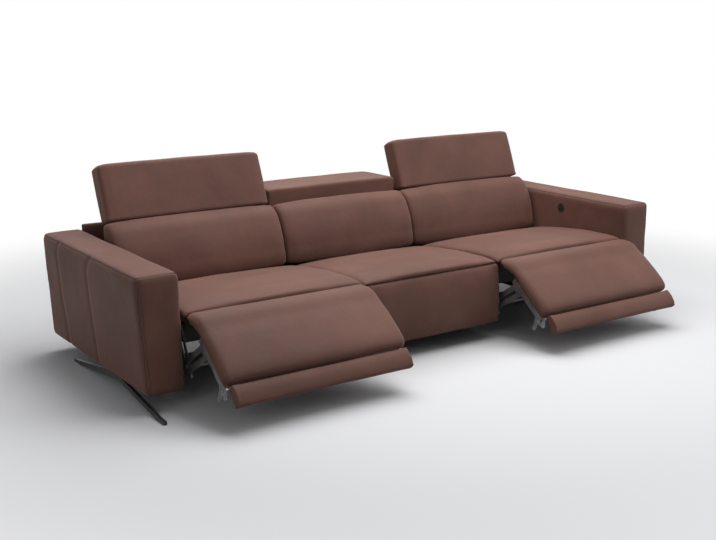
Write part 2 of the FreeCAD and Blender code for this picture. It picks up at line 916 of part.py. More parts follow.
def seat_limits(hand):
    """The low and high X of a seat's back and headrest, as expressions."""
    if hand == 0:
        reach = "(%s - Sizes.seat_joint / 2)" % HALF_CENTRE
        return "(-%s)" % reach, reach
    near = "(%s + Sizes.seat_joint / 2)" % HALF_CENTRE
    if hand > 0:
        return near, SEAT_EDGE
    return "(-%s)" % SEAT_EDGE, "(-%s)" % near


def headrest_point(up, inward, raised):
    """A point of a headrest: up along its face from its lower edge, and in from its front face."""
    along = number(up) - size("headrest_pivot_up")
    depth = number(inward) - size("headrest_pivot_in")
    lean = math.radians(size("headrest_lean") + (0 if raised else size("headrest_fold")))
    y = number(HINGE[0]) + along * math.sin(lean) + depth * math.cos(lean)
    z = number(HINGE[1]) + along * math.cos(lean) - depth * math.sin(lean)
    return y, z


def headrest_outline(raised):
    """The headrest's side outline, a soft block with a rounded top."""
    length = size("headrest_length")
    thickness = size("headrest_thickness")
    places = (
        (0, 6, 0.2),
        (0, thickness / 2, 0.0),
        (0, thickness - 6, 0.2),
        (3, thickness - 1, 0.6),
        (12, thickness, 0.8),
        (length / 2, thickness + 2, 0.8),
        (length - 22, thickness, 0.8),
        (length - 7, thickness - 7, 1.0),
        (length, thickness - 24, 1.0),
        (length + 2, thickness / 2, 1.0),
        (length - 3, 24, 1.0),
        (length - 9, 7, 1.0),
        (length - 26, 1, 0.8),
        (length / 2, -1, 0.8),
        (12, 1, 0.8),
        (3, 2, 0.6),
    )
    return tuple(
        headrest_point(up, inward, raised) + (weight,) for up, inward, weight in places
    )


def headrest_box(low_x, width, low_up, high_up, low_in, high_in, raised):
    """A block square to the headrest, for the hollows of its hinges and arms."""
    corners = [
        headrest_point(up, inward, raised)
        for up, inward in ((low_up, low_in), (low_up, high_in), (high_up, high_in), (high_up, low_in))
    ]
    points = [FreeCAD.Vector(low_x, y, z) for y, z in corners]
    wire = Part.makePolygon(points + points[:1])
    return Part.Face(wire).extrude(FreeCAD.Vector(width, 0, 0))


# How far a hinge's fixed ear and its moving arm stand in from the side of the hinge's slot.
EAR_OFFSET = "((Sizes.hinge_slot_width - 2 * Sizes.plate_thickness - Sizes.plate_gap) / 2)"
ARM_OFFSET = "(%s + Sizes.plate_thickness + Sizes.plate_gap)" % EAR_OFFSET


def headrest_pad(hand, raised):
    """A headrest's padding, hollow where its two steel arms and their hinges are."""
    low, high = seat_limits(hand)
    inset = size("headrest_side_inset") if hand else 2
    solid = soft_solid(
        headrest_outline(raised), number(low) + inset, number(high) - inset, size("back_draw"), 2
    )
    steel = size("plate_thickness")
    for hinge_low in hinge_places(low, high):
        start = number(hinge_low)
        slot = headrest_box(
            start, size("hinge_slot_width"), -12, 40, 44, size("headrest_thickness") + 12, raised
        )
        arm_start = start + number(ARM_OFFSET)
        reach = size("headrest_pivot_up") + size("headrest_arm_length") + size("hinge_eye_radius") + 1
        arm = headrest_box(
            arm_start,
            steel,
            39,
            reach,
            size("headrest_pivot_in") - size("hinge_eye_radius") - 0.5,
            size("headrest_pivot_in") + size("hinge_eye_radius") + 0.5,
            raised,
        )
        solid = solid.cut(slot).cut(arm)
    return solid


def headrest_arm(hinge_low, raised):
    """The steel arm that carries a headrest's padding."""
    lean = "Sizes.headrest_lean" if raised else "(Sizes.headrest_lean + Sizes.headrest_fold)"
    end = (
        "(%s + Sizes.headrest_arm_length * sin(%s * 1 deg))" % (HINGE[0], lean),
        "(%s + Sizes.headrest_arm_length * cos(%s * 1 deg))" % (HINGE[1], lean),
    )
    return plate(
        "(%s + %s)" % (hinge_low, ARM_OFFSET),
        HINGE_STEEL,
        straps=((HINGE, end, "Sizes.hinge_eye_radius"),),
        holes=((HINGE, "(Sizes.stud_radius + Sizes.stud_clearance)"),),
    )


PIVOT = (back("Sizes.back_pivot_depth"), "Sizes.back_pivot_height")
LEVER_FOOT = (PIVOT[0], "(Sizes.back_pivot_height - Sizes.lever_length)")
BOARD_SLOPE = "((%s - %s) / (%s - %s))" % (BOARD_TOP[0], BOARD_FOOT[0], BOARD_TOP[1], BOARD_FOOT[1])
BACK_ARM_IN = "(Sizes.eye_radius + 2)"
ARM_KNEE = (
    back("%s - (%s - Sizes.back_pivot_height - 4) * %s + %s")
    % (BOARD_FOOT[0], BOARD_FOOT[1], BOARD_SLOPE, BACK_ARM_IN),
    "(Sizes.back_pivot_height + 4)",
)
BACK_ARM_END = (
    back("%s - 40 * %s + %s") % (BOARD_TOP[0], BOARD_SLOPE, BACK_ARM_IN),
    "(Sizes.back_board_top - 40)",
)

headrest_ears = {}
for side, hand in SIDES + (("centre", 0),):
    low, high = seat_limits(hand)
    low_x = number(low)
    high_x = number(high)
    soft_part(
        "back_cushion_%s" % side,
        soft_solid(back_outline(), low_x, high_x, size("back_draw"), 8),
    )
    edge = layer(DRIVE_LAYER + 1) if hand else "4"
    node(
        "back_board_%s" % side,
        back_board("(%s + %s)" % (low, edge), "(%s - (%s) - 2 * %s)" % (high, low, edge)),
    )
    ears = [
        hinge_ear("(%s + %s)" % (hinge_low, EAR_OFFSET)) for hinge_low in hinge_places(low, high)
    ]
    if hand == 0:
        node("headrest_ears_centre", *ears)
    else:
        headrest_ears[side] = ears
    soft_part("headrest_pad_%s" % side, headrest_pad(hand, hand != 0))
    node(
        "headrest_arms_%s" % side,
        *[headrest_arm(hinge_low, hand != 0) for hinge_low in hinge_places(low, high)],
    )

# The back's steel frame: a cranked arm each side, and a bar between their lower ends.
for side, hand in SIDES:
    arms = []
    offset = layer(DRIVE_LAYER)
    for outer in (False, True):
        low_x = side_plane(hand, outer, offset, STEEL)
        arms.append(
            plate(
                low_x,
                STEEL,
                straps=(
                    (LEVER_FOOT, PIVOT, "Sizes.eye_radius"),
                    (PIVOT, ARM_KNEE, "Sizes.eye_radius"),
                    (ARM_KNEE, BACK_ARM_END, "Sizes.eye_radius"),
                ),
                holes=((PIVOT, "(Sizes.stud_radius + Sizes.stud_clearance)"),),
            )
        )
    bar_low = layer(BASE_LAYER)
    if hand > 0:
        bar_x = "(%s + %s - Sizes.plate_gap)" % (HALF_CENTRE, bar_low)
    else:
        bar_x = "(-%s + %s - Sizes.plate_gap)" % (SEAT_EDGE, bar_low)
    bar_length = "(%s - %s - 2 * (%s - Sizes.plate_gap))" % (SEAT_EDGE, HALF_CENTRE, bar_low)
    bar = round_bar(bar_x, LEVER_FOOT[0], LEVER_FOOT[1], "Sizes.torque_bar_radius", bar_length, "X")
    node("back_frame_%s" % side, bar, *(arms + headrest_ears[side]))

# The wall behind the backs, between the arms.
node(
    "rear_wall",
    block(
        "(-%s)" % ARM_FACE,
        back("Sizes.wall_front"),
        "Sizes.arm_underside",
        rail_length,
        "Sizes.wall_thickness",
        "(Sizes.wall_top - Sizes.arm_underside)",
    ),
)

# Footrest linkage. Places are those of the open footrest, and one layer of plates lies beside the next.
DRIVE = (back("Sizes.drive_pivot_back"), "Sizes.drive_pivot_height")
SWING = (back("Sizes.swing_pivot_back"), "Sizes.drive_pivot_height")
OUTER_FOOT = (back("Sizes.outer_foot_back"), "Sizes.outer_foot_height")
INNER_FOOT = (back("Sizes.inner_foot_back"), "Sizes.inner_foot_height")
SWING_FOOT = (back("Sizes.swing_foot_back"), "Sizes.swing_foot_height")


def pad_point(along, depth):
    """A point of the open footrest: along its face from the knee, and in from the face."""
    turn = "(Sizes.legrest_tilt * 1 deg)"
    forward = "Sizes.knee_reach + (%s) * cos(%s) - (%s) * sin(%s)" % (along, turn, depth, turn)
    up = "(Sizes.knee_height - (%s) * sin(%s) - (%s) * cos(%s))" % (along, turn, depth, turn)
    return ahead(forward), up


def flap_point(along, depth):
    """A point of the open foot flap: along its face from its upper edge, and in from the face."""
    turn = "(Sizes.flap_tilt * 1 deg)"
    tilt = "(Sizes.legrest_tilt * 1 deg)"
    reach = "(Sizes.legrest_length + Sizes.flap_gap)"
    forward = "Sizes.knee_reach + %s * cos(%s) + (%s) * cos(%s) - (%s) * sin(%s) - 2 * sin(%s)" % (
        reach,
        tilt,
        along,
        turn,
        depth,
        turn,
        tilt,
    )
    up = "(Sizes.knee_height - %s * sin(%s) - (%s) * sin(%s) - (%s) * cos(%s) - 2 * cos(%s))" % (
        reach,
        tilt,
        along,
        turn,
        depth,
        turn,
        tilt,
    )
    return ahead(forward), up


OUTER_HEAD = pad_point("Sizes.outer_link_place", "Sizes.link_depth")
INNER_HEAD = pad_point("Sizes.inner_link_place", "Sizes.link_depth")
NECK_ROOT = pad_point("Sizes.bracket_end_place", "Sizes.bracket_end_depth")
FLAP_PIVOT = flap_point("Sizes.flap_pivot_along", "Sizes.flap_pivot_depth")

strap_length = "sqrt((Sizes.drive_pivot_back - Sizes.outer_foot_back) ^ 2 + %s)" % (
    "(Sizes.drive_pivot_height - Sizes.outer_foot_height) ^ 2"
)
tube_share = "(Sizes.drive_tube_up / %s)" % strap_length
TUBE = (
    back(
        "Sizes.outer_foot_back + (Sizes.drive_pivot_back - Sizes.outer_foot_back) * %s" % tube_share
    ),
    "(Sizes.outer_foot_height + (Sizes.drive_pivot_height - Sizes.outer_foot_height) * %s)"
    % tube_share,
)

HOLE = "(Sizes.stud_radius + Sizes.stud_clearance)"
OPEN_HOLE = "(Sizes.stud_radius + Sizes.open_pivot_clearance)"
STUD = "Sizes.stud_radius"
EYE = "Sizes.eye_radius"
THIN = "Sizes.strap_radius"


def stud_low(hand, outer, first_layer, second_layer):
    """The low X of a rivet that reaches through two layers that lie side by side."""
    return side_plane(hand, outer, layer(min(first_layer, second_layer)), TWO_PLATES)


def link_pair(label, hand, index, straps, holes=(), studs=(), areas=(), others=()):
    """The same plate at both sides of a seat, with what is welded to both.

    studs are (centre, the other layer).
    """
    pair = []
    for outer in (False, True):
        low_x = side_plane(hand, outer, layer(index), STEEL)
        rivets = [
            (centre, STUD, stud_low(hand, outer, index, other), TWO_PLATES)
            for centre, other in studs
        ]
        pair.append(plate(low_x, STEEL, straps, areas, holes, rivets))
    return node(label, *(pair + list(others)))


def between_plates(hand, index):
    """The low X and the length of what runs across a seat between one layer's plates."""
    offset = "(%s + Sizes.plate_thickness)" % layer(index)
    low_x = "(%s + %s)" % (HALF_CENTRE, offset)
    if hand < 0:
        low_x = "(-%s + %s)" % (SEAT_EDGE, offset)
    return low_x, "(%s - %s - 2 * %s)" % (SEAT_EDGE, HALF_CENTRE, offset)


BRACKET_RAIL = (
    pad_point("24", "Sizes.legrest_foam + 1"),
    pad_point("24", "Sizes.link_depth - 4"),
    pad_point("Sizes.legrest_length - 14", "Sizes.link_depth - 4"),
    pad_point("Sizes.legrest_length - 14", "Sizes.legrest_foam + 1"),
)
NECK_BEND = flap_point("-6", "(Sizes.flap_pivot_depth + 26)")

# The flap's hinge plates stand outside the necks, and a pin from each reaches the flap's end.
FLAP_PIN = flap_point("Sizes.flap_pin_along", "Sizes.flap_pin_depth")
FLAP_PIN_START = "(%s + Sizes.plate_thickness)" % layer(HINGE_LAYER)
FLAP_PIN_LENGTH = "(Sizes.flap_inset - 0.3 - %s)" % FLAP_PIN_START


def pad_wire_points():
    """The footrest pad's side outline, thinner at the knee."""
    length = size("legrest_length")
    foam = size("legrest_foam")
    places = (
        (0.5, 2, 0.15),
        (9, foam * 0.5, 0.0),
        (22, foam, 0.0),
        (length / 2, foam, 0.0),
        (length - 18, foam, 0.0),
        (length - 10, foam * 0.55, 0.4),
        (length - 6, 5, 0.8),
        (length - 10, -2, 0.9),
        (length - 20, -5, 1.0),
        (length * 0.5, -13, 1.0),
        (16, -3, 0.6),
        (6, 0, 0.0),
    )
    return tuple(
        (number(pad_point(along, depth)[0]), number(pad_point(along, depth)[1]), weight)
        for along, depth, weight in places
    )


def flap_wire_points():
    """The foot flap's side outline."""
    width = size("flap_width")
    thickness = size("flap_thickness")
    places = (
        (2, 4, 0.8),
        (0, thickness / 2, 0.6),
        (3, thickness - 3, 0.0),
        (width / 2, thickness, 0.2),
        (width - 4, thickness - 3, 0.8),
        (width, thickness / 2, 1.0),
        (width - 4, 4, 1.0),
        (width / 2, -3, 0.8),
    )
    return tuple(
        (number(flap_point(along, depth)[0]), number(flap_point(along, depth)[1]), weight)
        for along, depth, weight in places
    )


def roll_wire_points():
    """The soft roll between the seat's front seam and the footrest pad."""
    front = -size("front_line") - 0.3
    reach = size("knee_reach")
    end_y = -size("front_line") - reach + 3.5
    high = size("seat_front_height")
    end_high = size("knee_height") + 1
    return (
        (front, high - 1, 1.0),
        (front - reach * 0.5, high - 3, 1.0),
        (end_y, end_high, 0.3),
        (end_y + 6, end_high - 20, 0.0),
        (end_y + 12, end_high - 38, 0.0),
        ((front + end_y) / 2, size("seat_lip_underside") - 24, 0.0),
        (front, size("seat_lip_underside"), 0.0),
        (front, (high + size("seat_lip_underside")) / 2, 0.0),
    )


for side, hand in SIDES:
    low_x, length = between_plates(hand, DRIVE_LAYER)
    drive_tube = round_bar(low_x, TUBE[0], TUBE[1], "Sizes.drive_tube_radius", length, "X")
    link_pair(
        "drive_links_%s" % side,
        hand,
        DRIVE_LAYER,
        straps=((DRIVE, OUTER_FOOT, EYE), (DRIVE, INNER_FOOT, THIN), (INNER_FOOT, OUTER_FOOT, THIN)),
        holes=((DRIVE, HOLE),),
        studs=((OUTER_FOOT, LINK_LAYER), (INNER_FOOT, LINK_LAYER)),
        others=(drive_tube,),
    )
    link_pair(
        "swing_links_%s" % side,
        hand,
        DRIVE_LAYER,
        straps=((SWING, SWING_FOOT, THIN),),
        holes=((SWING, HOLE),),
        studs=((SWING_FOOT, LINK_LAYER),),
    )
    link_pair(
        "outer_links_%s" % side,
        hand,
        LINK_LAYER,
        straps=((OUTER_FOOT, OUTER_HEAD, EYE), (OUTER_FOOT, SWING_FOOT, EYE)),
        holes=((OUTER_FOOT, HOLE), (SWING_FOOT, OPEN_HOLE)),
        studs=((OUTER_HEAD, BRACKET_LAYER),),
    )
    link_pair(
        "inner_links_%s" % side,
        hand,
        LINK_LAYER,
        straps=((INNER_FOOT, INNER_HEAD, EYE),),
        holes=((INNER_FOOT, HOLE),),
        studs=((INNER_HEAD, BRACKET_LAYER),),
    )
    link_pair(
        "footrest_brackets_%s" % side,
        hand,
        BRACKET_LAYER,
        straps=(
            (INNER_HEAD, OUTER_HEAD, EYE),
            (pad_point("Sizes.bracket_end_place - 30", "Sizes.link_depth - 16"), NECK_ROOT, THIN),
        ),
        areas=(BRACKET_RAIL,),
        holes=((OUTER_HEAD, HOLE), (INNER_HEAD, OPEN_HOLE)),
        studs=((NECK_ROOT, NECK_LAYER),),
    )
    link_pair(
        "flap_necks_%s" % side,
        hand,
        NECK_LAYER,
        straps=((NECK_ROOT, NECK_BEND, THIN), (NECK_BEND, FLAP_PIVOT, THIN)),
        holes=((NECK_ROOT, HOLE),),
        studs=((FLAP_PIVOT, HINGE_LAYER),),
    )
    flap_pins = []
    for outer in (False, True):
        pin_x = side_plane(hand, outer, FLAP_PIN_START, FLAP_PIN_LENGTH)
        flap_pins.append(
            round_bar(pin_x, FLAP_PIN[0], FLAP_PIN[1], "Sizes.flap_pin_radius", FLAP_PIN_LENGTH, "X")
        )
    link_pair(
        "flap_hinges_%s" % side,
        hand,
        HINGE_LAYER,
        straps=((FLAP_PIVOT, FLAP_PIN, THIN),),
        holes=((FLAP_PIVOT, HOLE),),
        others=flap_pins,
    )
    low_x, length = between_plates(hand, BRACKET_LAYER)
    node(
        "footrest_board_%s" % side,
        profile(
            low_x,
            length,
            (
                pad_point("40", "Sizes.legrest_foam"),
                pad_point("Sizes.legrest_length - 12", "Sizes.legrest_foam"),
                pad_point("Sizes.legrest_length - 12", "Sizes.legrest_foam + Sizes.legrest_board"),
                pad_point("40", "Sizes.legrest_foam + Sizes.legrest_board"),
            ),
        ),
    )
    low_x, high_x = side_range(hand)
    soft_part(
        "footrest_pad_%s" % side,
        soft_solid(pad_wire_points(), low_x + 2, high_x - 2, size("legrest_draw"), 6),
    )
    soft_part(
        "knee_roll_%s" % side,
        soft_solid(roll_wire_points(), low_x + 1, high_x - 1, 6, 3),
    )
    low_x, high_x = side_range(hand, "flap_inset")
    soft_part(
        "flap_pad_%s" % side,
        soft_solid(flap_wire_points(), low_x, high_x, 8, 2),
    )

# Steel base of each recliner: side plates with the fixed pivots, a front rail and a beam for the
# back's actuator.
side_plates = []
cross_members = []
aprons = []
seat_boards = []
spacers = []
for side, hand in SIDES:
    rail_top = "(Sizes.rear_rail_low + Sizes.rear_rail_height)"
    ear_top = "(Sizes.back_pivot_height + 16)"
    for outer in (False, True):
        low_x = side_plane(hand, outer, layer(BASE_LAYER), STEEL)
        rest = "(Sizes.seat_underside - 6)"
        leg = back("Sizes.side_plate_leg")
        corners = (
            (back("Sizes.side_plate_front"), "Sizes.side_plate_top"),
            (back("Sizes.side_plate_front"), "(Sizes.drive_pivot_height - 22)"),
            (back("Sizes.side_plate_leg - 66"), "(Sizes.drive_pivot_height - 36)"),
            (leg, "(Sizes.drive_pivot_height - 110)"),
            (leg, "Sizes.cross_rail_low"),
            (back("Sizes.cross_rail_front + Sizes.cross_rail_depth"), "Sizes.cross_rail_low"),
            (back("Sizes.cross_rail_front + Sizes.cross_rail_depth + 30"), rail_top),
            (back("Sizes.back_pivot_depth - 40"), rail_top),
            (back("Sizes.back_pivot_depth - 40"), "(Sizes.back_pivot_height - 67)"),
            (back("Sizes.back_pivot_depth + 20"), "(Sizes.back_pivot_height - 27)"),
            (back("Sizes.back_pivot_depth + 20"), ear_top),
            (back("Sizes.seat_rear_depth + 8"), ear_top),
            (back("Sizes.seat_rear_depth + 4"), rest),
            (back("Sizes.seat_rim_depth + 16"), rest),
            (back("Sizes.seat_rim_depth - 8"), "Sizes.side_plate_top"),
        )
        side_plates.append(
            plate(
                low_x,
                STEEL,
                straps=(),
                areas=(corners,),
                studs=tuple(
                    (centre, STUD, stud_low(hand, outer, BASE_LAYER, DRIVE_LAYER), TWO_PLATES)
                    for centre in (DRIVE, SWING, PIVOT)
                ),
            )
        )
        reach = "(%s)" % layer(BASE_LAYER)
        gap_inner = "(%s + 2)" % reach
        gap_outer = "(%s + Sizes.arm_seat_gap)" % reach
        for depth, height in (("Sizes.seat_rim_depth - 30", "250"), ("Sizes.rear_rail_front", "232")):
            length = gap_outer if outer else gap_inner
            if outer:
                near = "(%s - %s)" % (SEAT_EDGE, reach)
            else:
                near = "(%s - 2)" % HALF_CENTRE
            spacer_x = near if hand > 0 else "(-%s - %s)" % (near, length)
            spacers.append(
                round_bar(spacer_x, back(depth), height, "Sizes.spacer_radius", length, "X")
            )
    offset = "(%s + Sizes.plate_thickness)" % layer(BASE_LAYER)
    inner_x = (
        "(%s + %s)" % (HALF_CENTRE, offset) if hand > 0 else "(-%s + %s)" % (SEAT_EDGE, offset)
    )
    inner_length = "(%s - %s - 2 * %s)" % (SEAT_EDGE, HALF_CENTRE, offset)
    cross_members.append(
        block(
            inner_x,
            back("Sizes.cross_rail_front"),
            "Sizes.cross_rail_low",
            inner_length,
            "Sizes.cross_rail_depth",
            "Sizes.cross_rail_height",
        )
    )
    cross_members.append(
        block(
            inner_x,
            back("Sizes.beam_front"),
            "Sizes.beam_low",
            inner_length,
            "Sizes.beam_depth",
            "Sizes.beam_height",
        )
    )
    board_low = "(Sizes.seat_underside - Sizes.web_thickness - 50)"
    aprons.append(
        block(
            inner_x,
            back("Sizes.seat_lip_depth + 28"),
            board_low,
            inner_length,
            "12",
            "(Sizes.seat_rim_underside - 2 - %s)" % board_low,
        )
    )
    board_pieces = [
        block(
            inner_x,
            back("Sizes.seat_lip_depth + 40"),
            board_low,
            "Sizes.board_thickness",
            "(Sizes.seat_rear_depth - Sizes.seat_lip_depth - 50)",
            "50",
        ),
        block(
            "(%s + %s - Sizes.board_thickness)" % (inner_x, inner_length),
            back("Sizes.seat_lip_depth + 40"),
            board_low,
            "Sizes.board_thickness",
            "(Sizes.seat_rear_depth - Sizes.seat_lip_depth - 50)",
            "50",
        ),
    ]
    seat_boards.extend(board_pieces)
    for low_y in (
        back("Sizes.seat_lip_depth + 40"),
        back("Sizes.seat_rear_depth - 10 - Sizes.board_thickness"),
    ):
        seat_boards.append(
            block(
                "(%s + Sizes.board_thickness)" % inner_x,
                low_y,
                board_low,
                "(%s - 2 * Sizes.board_thickness)" % inner_length,
                "Sizes.board_thickness",
                "50",
            )
        )
node("side_plates", *side_plates)
node("cross_members", *(cross_members + spacers))
node("base_timbers", rear_rail, *(partitions + centre_boards + back_posts + aprons + seat_boards))

# Elastic webbing under the three seat cushions, front to rear.
webs = []
web_depth = "(Sizes.seat_rear_depth - Sizes.seat_lip_depth - 50)"
for low, high in (
    ("(-%s + 50)" % SEAT_EDGE, "(-%s - 50)" % HALF_CENTRE),
    ("(-%s + 22)" % HALF_CENTRE, "(%s - 22)" % HALF_CENTRE),
    ("(%s + 50)" % HALF_CENTRE, "(%s - 50)" % SEAT_EDGE),
):
    for index in range(int(size("web_count"))):
        share = "(%d / Sizes.web_count)" % index
        half_step = "(0.5 / Sizes.web_count)"
        middle = "(%s + (%s - %s) * (%s + %s))" % (low, high, low, share, half_step)
        webs.append(
            block(
                "(%s - Sizes.web_width / 2)" % middle,
                back("Sizes.seat_lip_depth + 40"),
                "(Sizes.seat_underside - Sizes.web_thickness)",
                "Sizes.web_width",
                web_depth,
                "Sizes.web_thickness",
            )
        )
node("seat_webbing", *webs)

# Actuators. Each pushes a rod whose fork holds a cross tube, in a slot that lets the tube rise.
TUBE_FORK = ("Sizes.drive_tube_radius", "Sizes.fork_front_play", "Sizes.fork_rear_play")
BAR_FORK = ("Sizes.torque_bar_radius", "0.6", "0.6")


def forked_rod(x, centre_y, rod_z, fork, slot_low, slot_high, rod_end):
    """A rod along Y with a fork at its front about a tube across it."""
    radius, front_play, rear_play = fork
    fork_low = "(%s - %s - %s - Sizes.fork_wall)" % (centre_y, radius, front_play)
    fork_depth = "(2 * %s + %s + %s + 2 * Sizes.fork_wall)" % (radius, front_play, rear_play)
    low_x = "(%s - Sizes.fork_width / 2)" % x
    head = block(
        low_x,
        fork_low,
        "(%s - Sizes.fork_wall)" % slot_low,
        "Sizes.fork_width",
        fork_depth,
        "(%s - %s + 2 * Sizes.fork_wall)" % (slot_high, slot_low),
    )
    slot = block(
        "(%s - 5)" % low_x,
        "(%s - %s - %s)" % (centre_y, radius, front_play),
        slot_low,
        "(Sizes.fork_width + 10)",
        "(2 * %s + %s + %s)" % (radius, front_play, rear_play),
        "(%s - %s)" % (slot_high, slot_low),
    )
    if number(rod_end) > number(centre_y):
        rod_start = "(%s + %s - 2)" % (fork_low, fork_depth)
        rod_length = "(%s - %s)" % (rod_end, rod_start)
    else:
        rod_start = rod_end
        rod_length = "(%s + 2 - %s)" % (fork_low, rod_end)
    rod = round_bar(x, rod_start, rod_z, "Sizes.rod_radius", rod_length, "Y")
    return fused(cut(head, slot), rod)


def housing(x, front_y, length, z, motor_up):
    """An actuator's tube, open at the rod's bore, with its motor beside it."""
    tube = round_bar(x, front_y, z, "Sizes.housing_radius", length, "Y")
    motor_y = "(%s + %s * 0.35)" % (front_y, length)
    motor = block(
        "(%s - Sizes.motor_width / 2)" % x,
        motor_y,
        "(%s + %s)" % (z, motor_up),
        "Sizes.motor_width",
        "Sizes.motor_depth",
        "Sizes.motor_height",
    )
    bore = round_bar(x, front_y, z, "(Sizes.rod_radius + Sizes.rod_clearance)", length, "Y")
    return cut(fused(tube, motor), bore)


housings = []
for side, hand in SIDES:
    middle = "(%d * (%s + %s) / 2)" % (hand, HALF_CENTRE, SEAT_EDGE)
    leg_front = back("Sizes.cross_rail_front + 4")
    leg_length = "(Sizes.rear_rail_front - Sizes.cross_rail_front - 4)"
    node(
        "footrest_rod_%s" % side,
        forked_rod(
            middle,
            TUBE[0],
            "Sizes.leg_actuator_height",
            TUBE_FORK,
            "(Sizes.leg_actuator_height - 30)",
            "(Sizes.leg_actuator_height + 34)",
            back("Sizes.cross_rail_front + 60"),
        ),
    )
    housings.append(
        housing(middle, leg_front, leg_length, "Sizes.leg_actuator_height", "Sizes.housing_radius - 8")
    )
    beside = "(%s + %d * 190)" % (middle, hand)
    back_front = back("Sizes.beam_front + Sizes.beam_depth")
    node(
        "recline_rod_%s" % side,
        forked_rod(
            beside,
            LEVER_FOOT[0],
            "Sizes.back_actuator_height",
            BAR_FORK,
            "(%s - Sizes.torque_bar_radius - 2)" % LEVER_FOOT[1],
            "(%s + Sizes.torque_bar_radius + 4.4)" % LEVER_FOOT[1],
            back("Sizes.beam_front + Sizes.beam_depth + 80"),
        ),
    )
    housings.append(
        housing(
            beside,
            back_front,
            "220",
            "Sizes.back_actuator_height",
            "(-Sizes.housing_radius + 8 - Sizes.motor_height)",
        )
    )
node("actuator_housings", *housings)

# Power supply under the centre seat, on the rear rail's front face.
node(
    "power_supply",
    block("-70", back("Sizes.rear_rail_front - 70"), "Sizes.rear_rail_low", "140", "70", "46"),
)

# Control plates on the arms' inner faces, each with two push buttons.
controls = []
for side, hand in SIDES:
    face = "(%d * %s)" % (hand, ARM_FACE)
    low_x = "(%s - Sizes.control_plate)" % face if hand > 0 else face
    disc = round_bar(
        low_x,
        back("Sizes.control_back"),
        "Sizes.control_height",
        "Sizes.control_radius",
        "Sizes.control_plate",
        "X",
    )
    for name, way in (("out", -1), ("in", 1)):
        centre_y = back("Sizes.control_back + %d * Sizes.button_spacing / 2" % way)
        recess = round_bar(
            "(%s - 1)" % low_x,
            centre_y,
            "Sizes.control_height",
            "(Sizes.button_radius + 0.4)",
            "(Sizes.control_plate + 2)",
            "X",
        )
        disc = cut(disc, recess)
        if hand > 0:
            button_low = "(%s - Sizes.button_rise - Sizes.button_travel - 0.2)" % face
        else:
            button_low = "(%s + Sizes.button_travel + 0.2)" % face
        node(
            "button_%s_%s" % (name, side),
            round_bar(
                button_low,
                centre_y,
                "Sizes.control_height",
                "Sizes.button_radius",
                "Sizes.button_rise",
                "X",
            ),
        )
    controls.append(disc)
node("control_plates", *controls)

doc.recompute()

faults = [item.Name for item in doc.Objects if "Invalid" in item.State or "Error" in item.State]
for item in NODES:
    if item.Shape.isNull() or not item.Shape.isValid():
        faults.append(item.Label)
if faults:
    raise RuntimeError("failed: " + ", ".join(faults))

os.makedirs("parts", exist_ok=True)
for item in NODES:
    item.Shape.exportStep("parts/%s.step" % item.Label)
print(len(NODES), "nodes")
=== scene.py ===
import math

import bmesh
import bpy
import numpy as np
from mathutils import Matrix, Vector, noise
from mathutils.bvhtree import BVHTree


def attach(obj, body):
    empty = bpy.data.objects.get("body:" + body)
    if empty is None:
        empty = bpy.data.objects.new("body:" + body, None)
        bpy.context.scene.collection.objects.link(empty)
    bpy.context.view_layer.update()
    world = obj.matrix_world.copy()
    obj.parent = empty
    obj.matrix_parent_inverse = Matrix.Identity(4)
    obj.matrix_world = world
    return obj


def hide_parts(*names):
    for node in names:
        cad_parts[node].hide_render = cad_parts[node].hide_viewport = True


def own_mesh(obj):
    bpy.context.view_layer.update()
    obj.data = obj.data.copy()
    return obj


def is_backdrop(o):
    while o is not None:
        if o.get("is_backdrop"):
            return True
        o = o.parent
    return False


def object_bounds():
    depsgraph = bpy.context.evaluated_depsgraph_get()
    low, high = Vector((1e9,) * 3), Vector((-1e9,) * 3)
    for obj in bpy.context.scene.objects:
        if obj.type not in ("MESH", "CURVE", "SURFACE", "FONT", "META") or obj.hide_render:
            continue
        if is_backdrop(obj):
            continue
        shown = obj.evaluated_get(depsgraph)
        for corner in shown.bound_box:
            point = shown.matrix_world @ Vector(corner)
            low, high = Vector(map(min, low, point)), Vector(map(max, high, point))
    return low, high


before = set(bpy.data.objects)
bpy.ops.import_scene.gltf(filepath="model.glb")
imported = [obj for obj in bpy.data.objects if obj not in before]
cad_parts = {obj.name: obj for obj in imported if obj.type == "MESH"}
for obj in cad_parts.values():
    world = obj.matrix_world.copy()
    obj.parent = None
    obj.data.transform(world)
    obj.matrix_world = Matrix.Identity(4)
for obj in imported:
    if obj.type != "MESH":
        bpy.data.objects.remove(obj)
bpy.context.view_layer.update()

# Camera at the photograph's viewing angle, from the front left and a little above the arms.
FRONT = -0.3652
eye = Vector((-3.087, -3.798 + FRONT, 1.586))
aim = Vector((-0.0717, 0.5245 + FRONT, 0.3112))
camera_data = bpy.data.cameras.new("camera")
camera_data.lens = 53.65
camera_data.sensor_width = 36.0
camera_data.clip_end = 60
camera = bpy.data.objects.new("camera", camera_data)
camera.location = eye
camera.rotation_mode = "QUATERNION"
camera.rotation_quaternion = (aim - eye).to_track_quat("-Z", "Y")
bpy.context.scene.collection.objects.link(camera)
bpy.context.scene.camera = camera
bpy.context.scene.view_settings.view_transform = "Standard"


# Studio: a pale floor that keeps the shadow and turns white further out, a white surround and
# three soft lamps. The floor throws less light back at the sofa than the camera sees on it.
FLOOR_SEEN = (0.76, 0.76, 0.77, 1)
FLOOR_BOUNCE = (0.25, 0.25, 0.25, 1)
FADE_START, FADE_END = 1.7, 3.6
FLOOR_HALF = 30


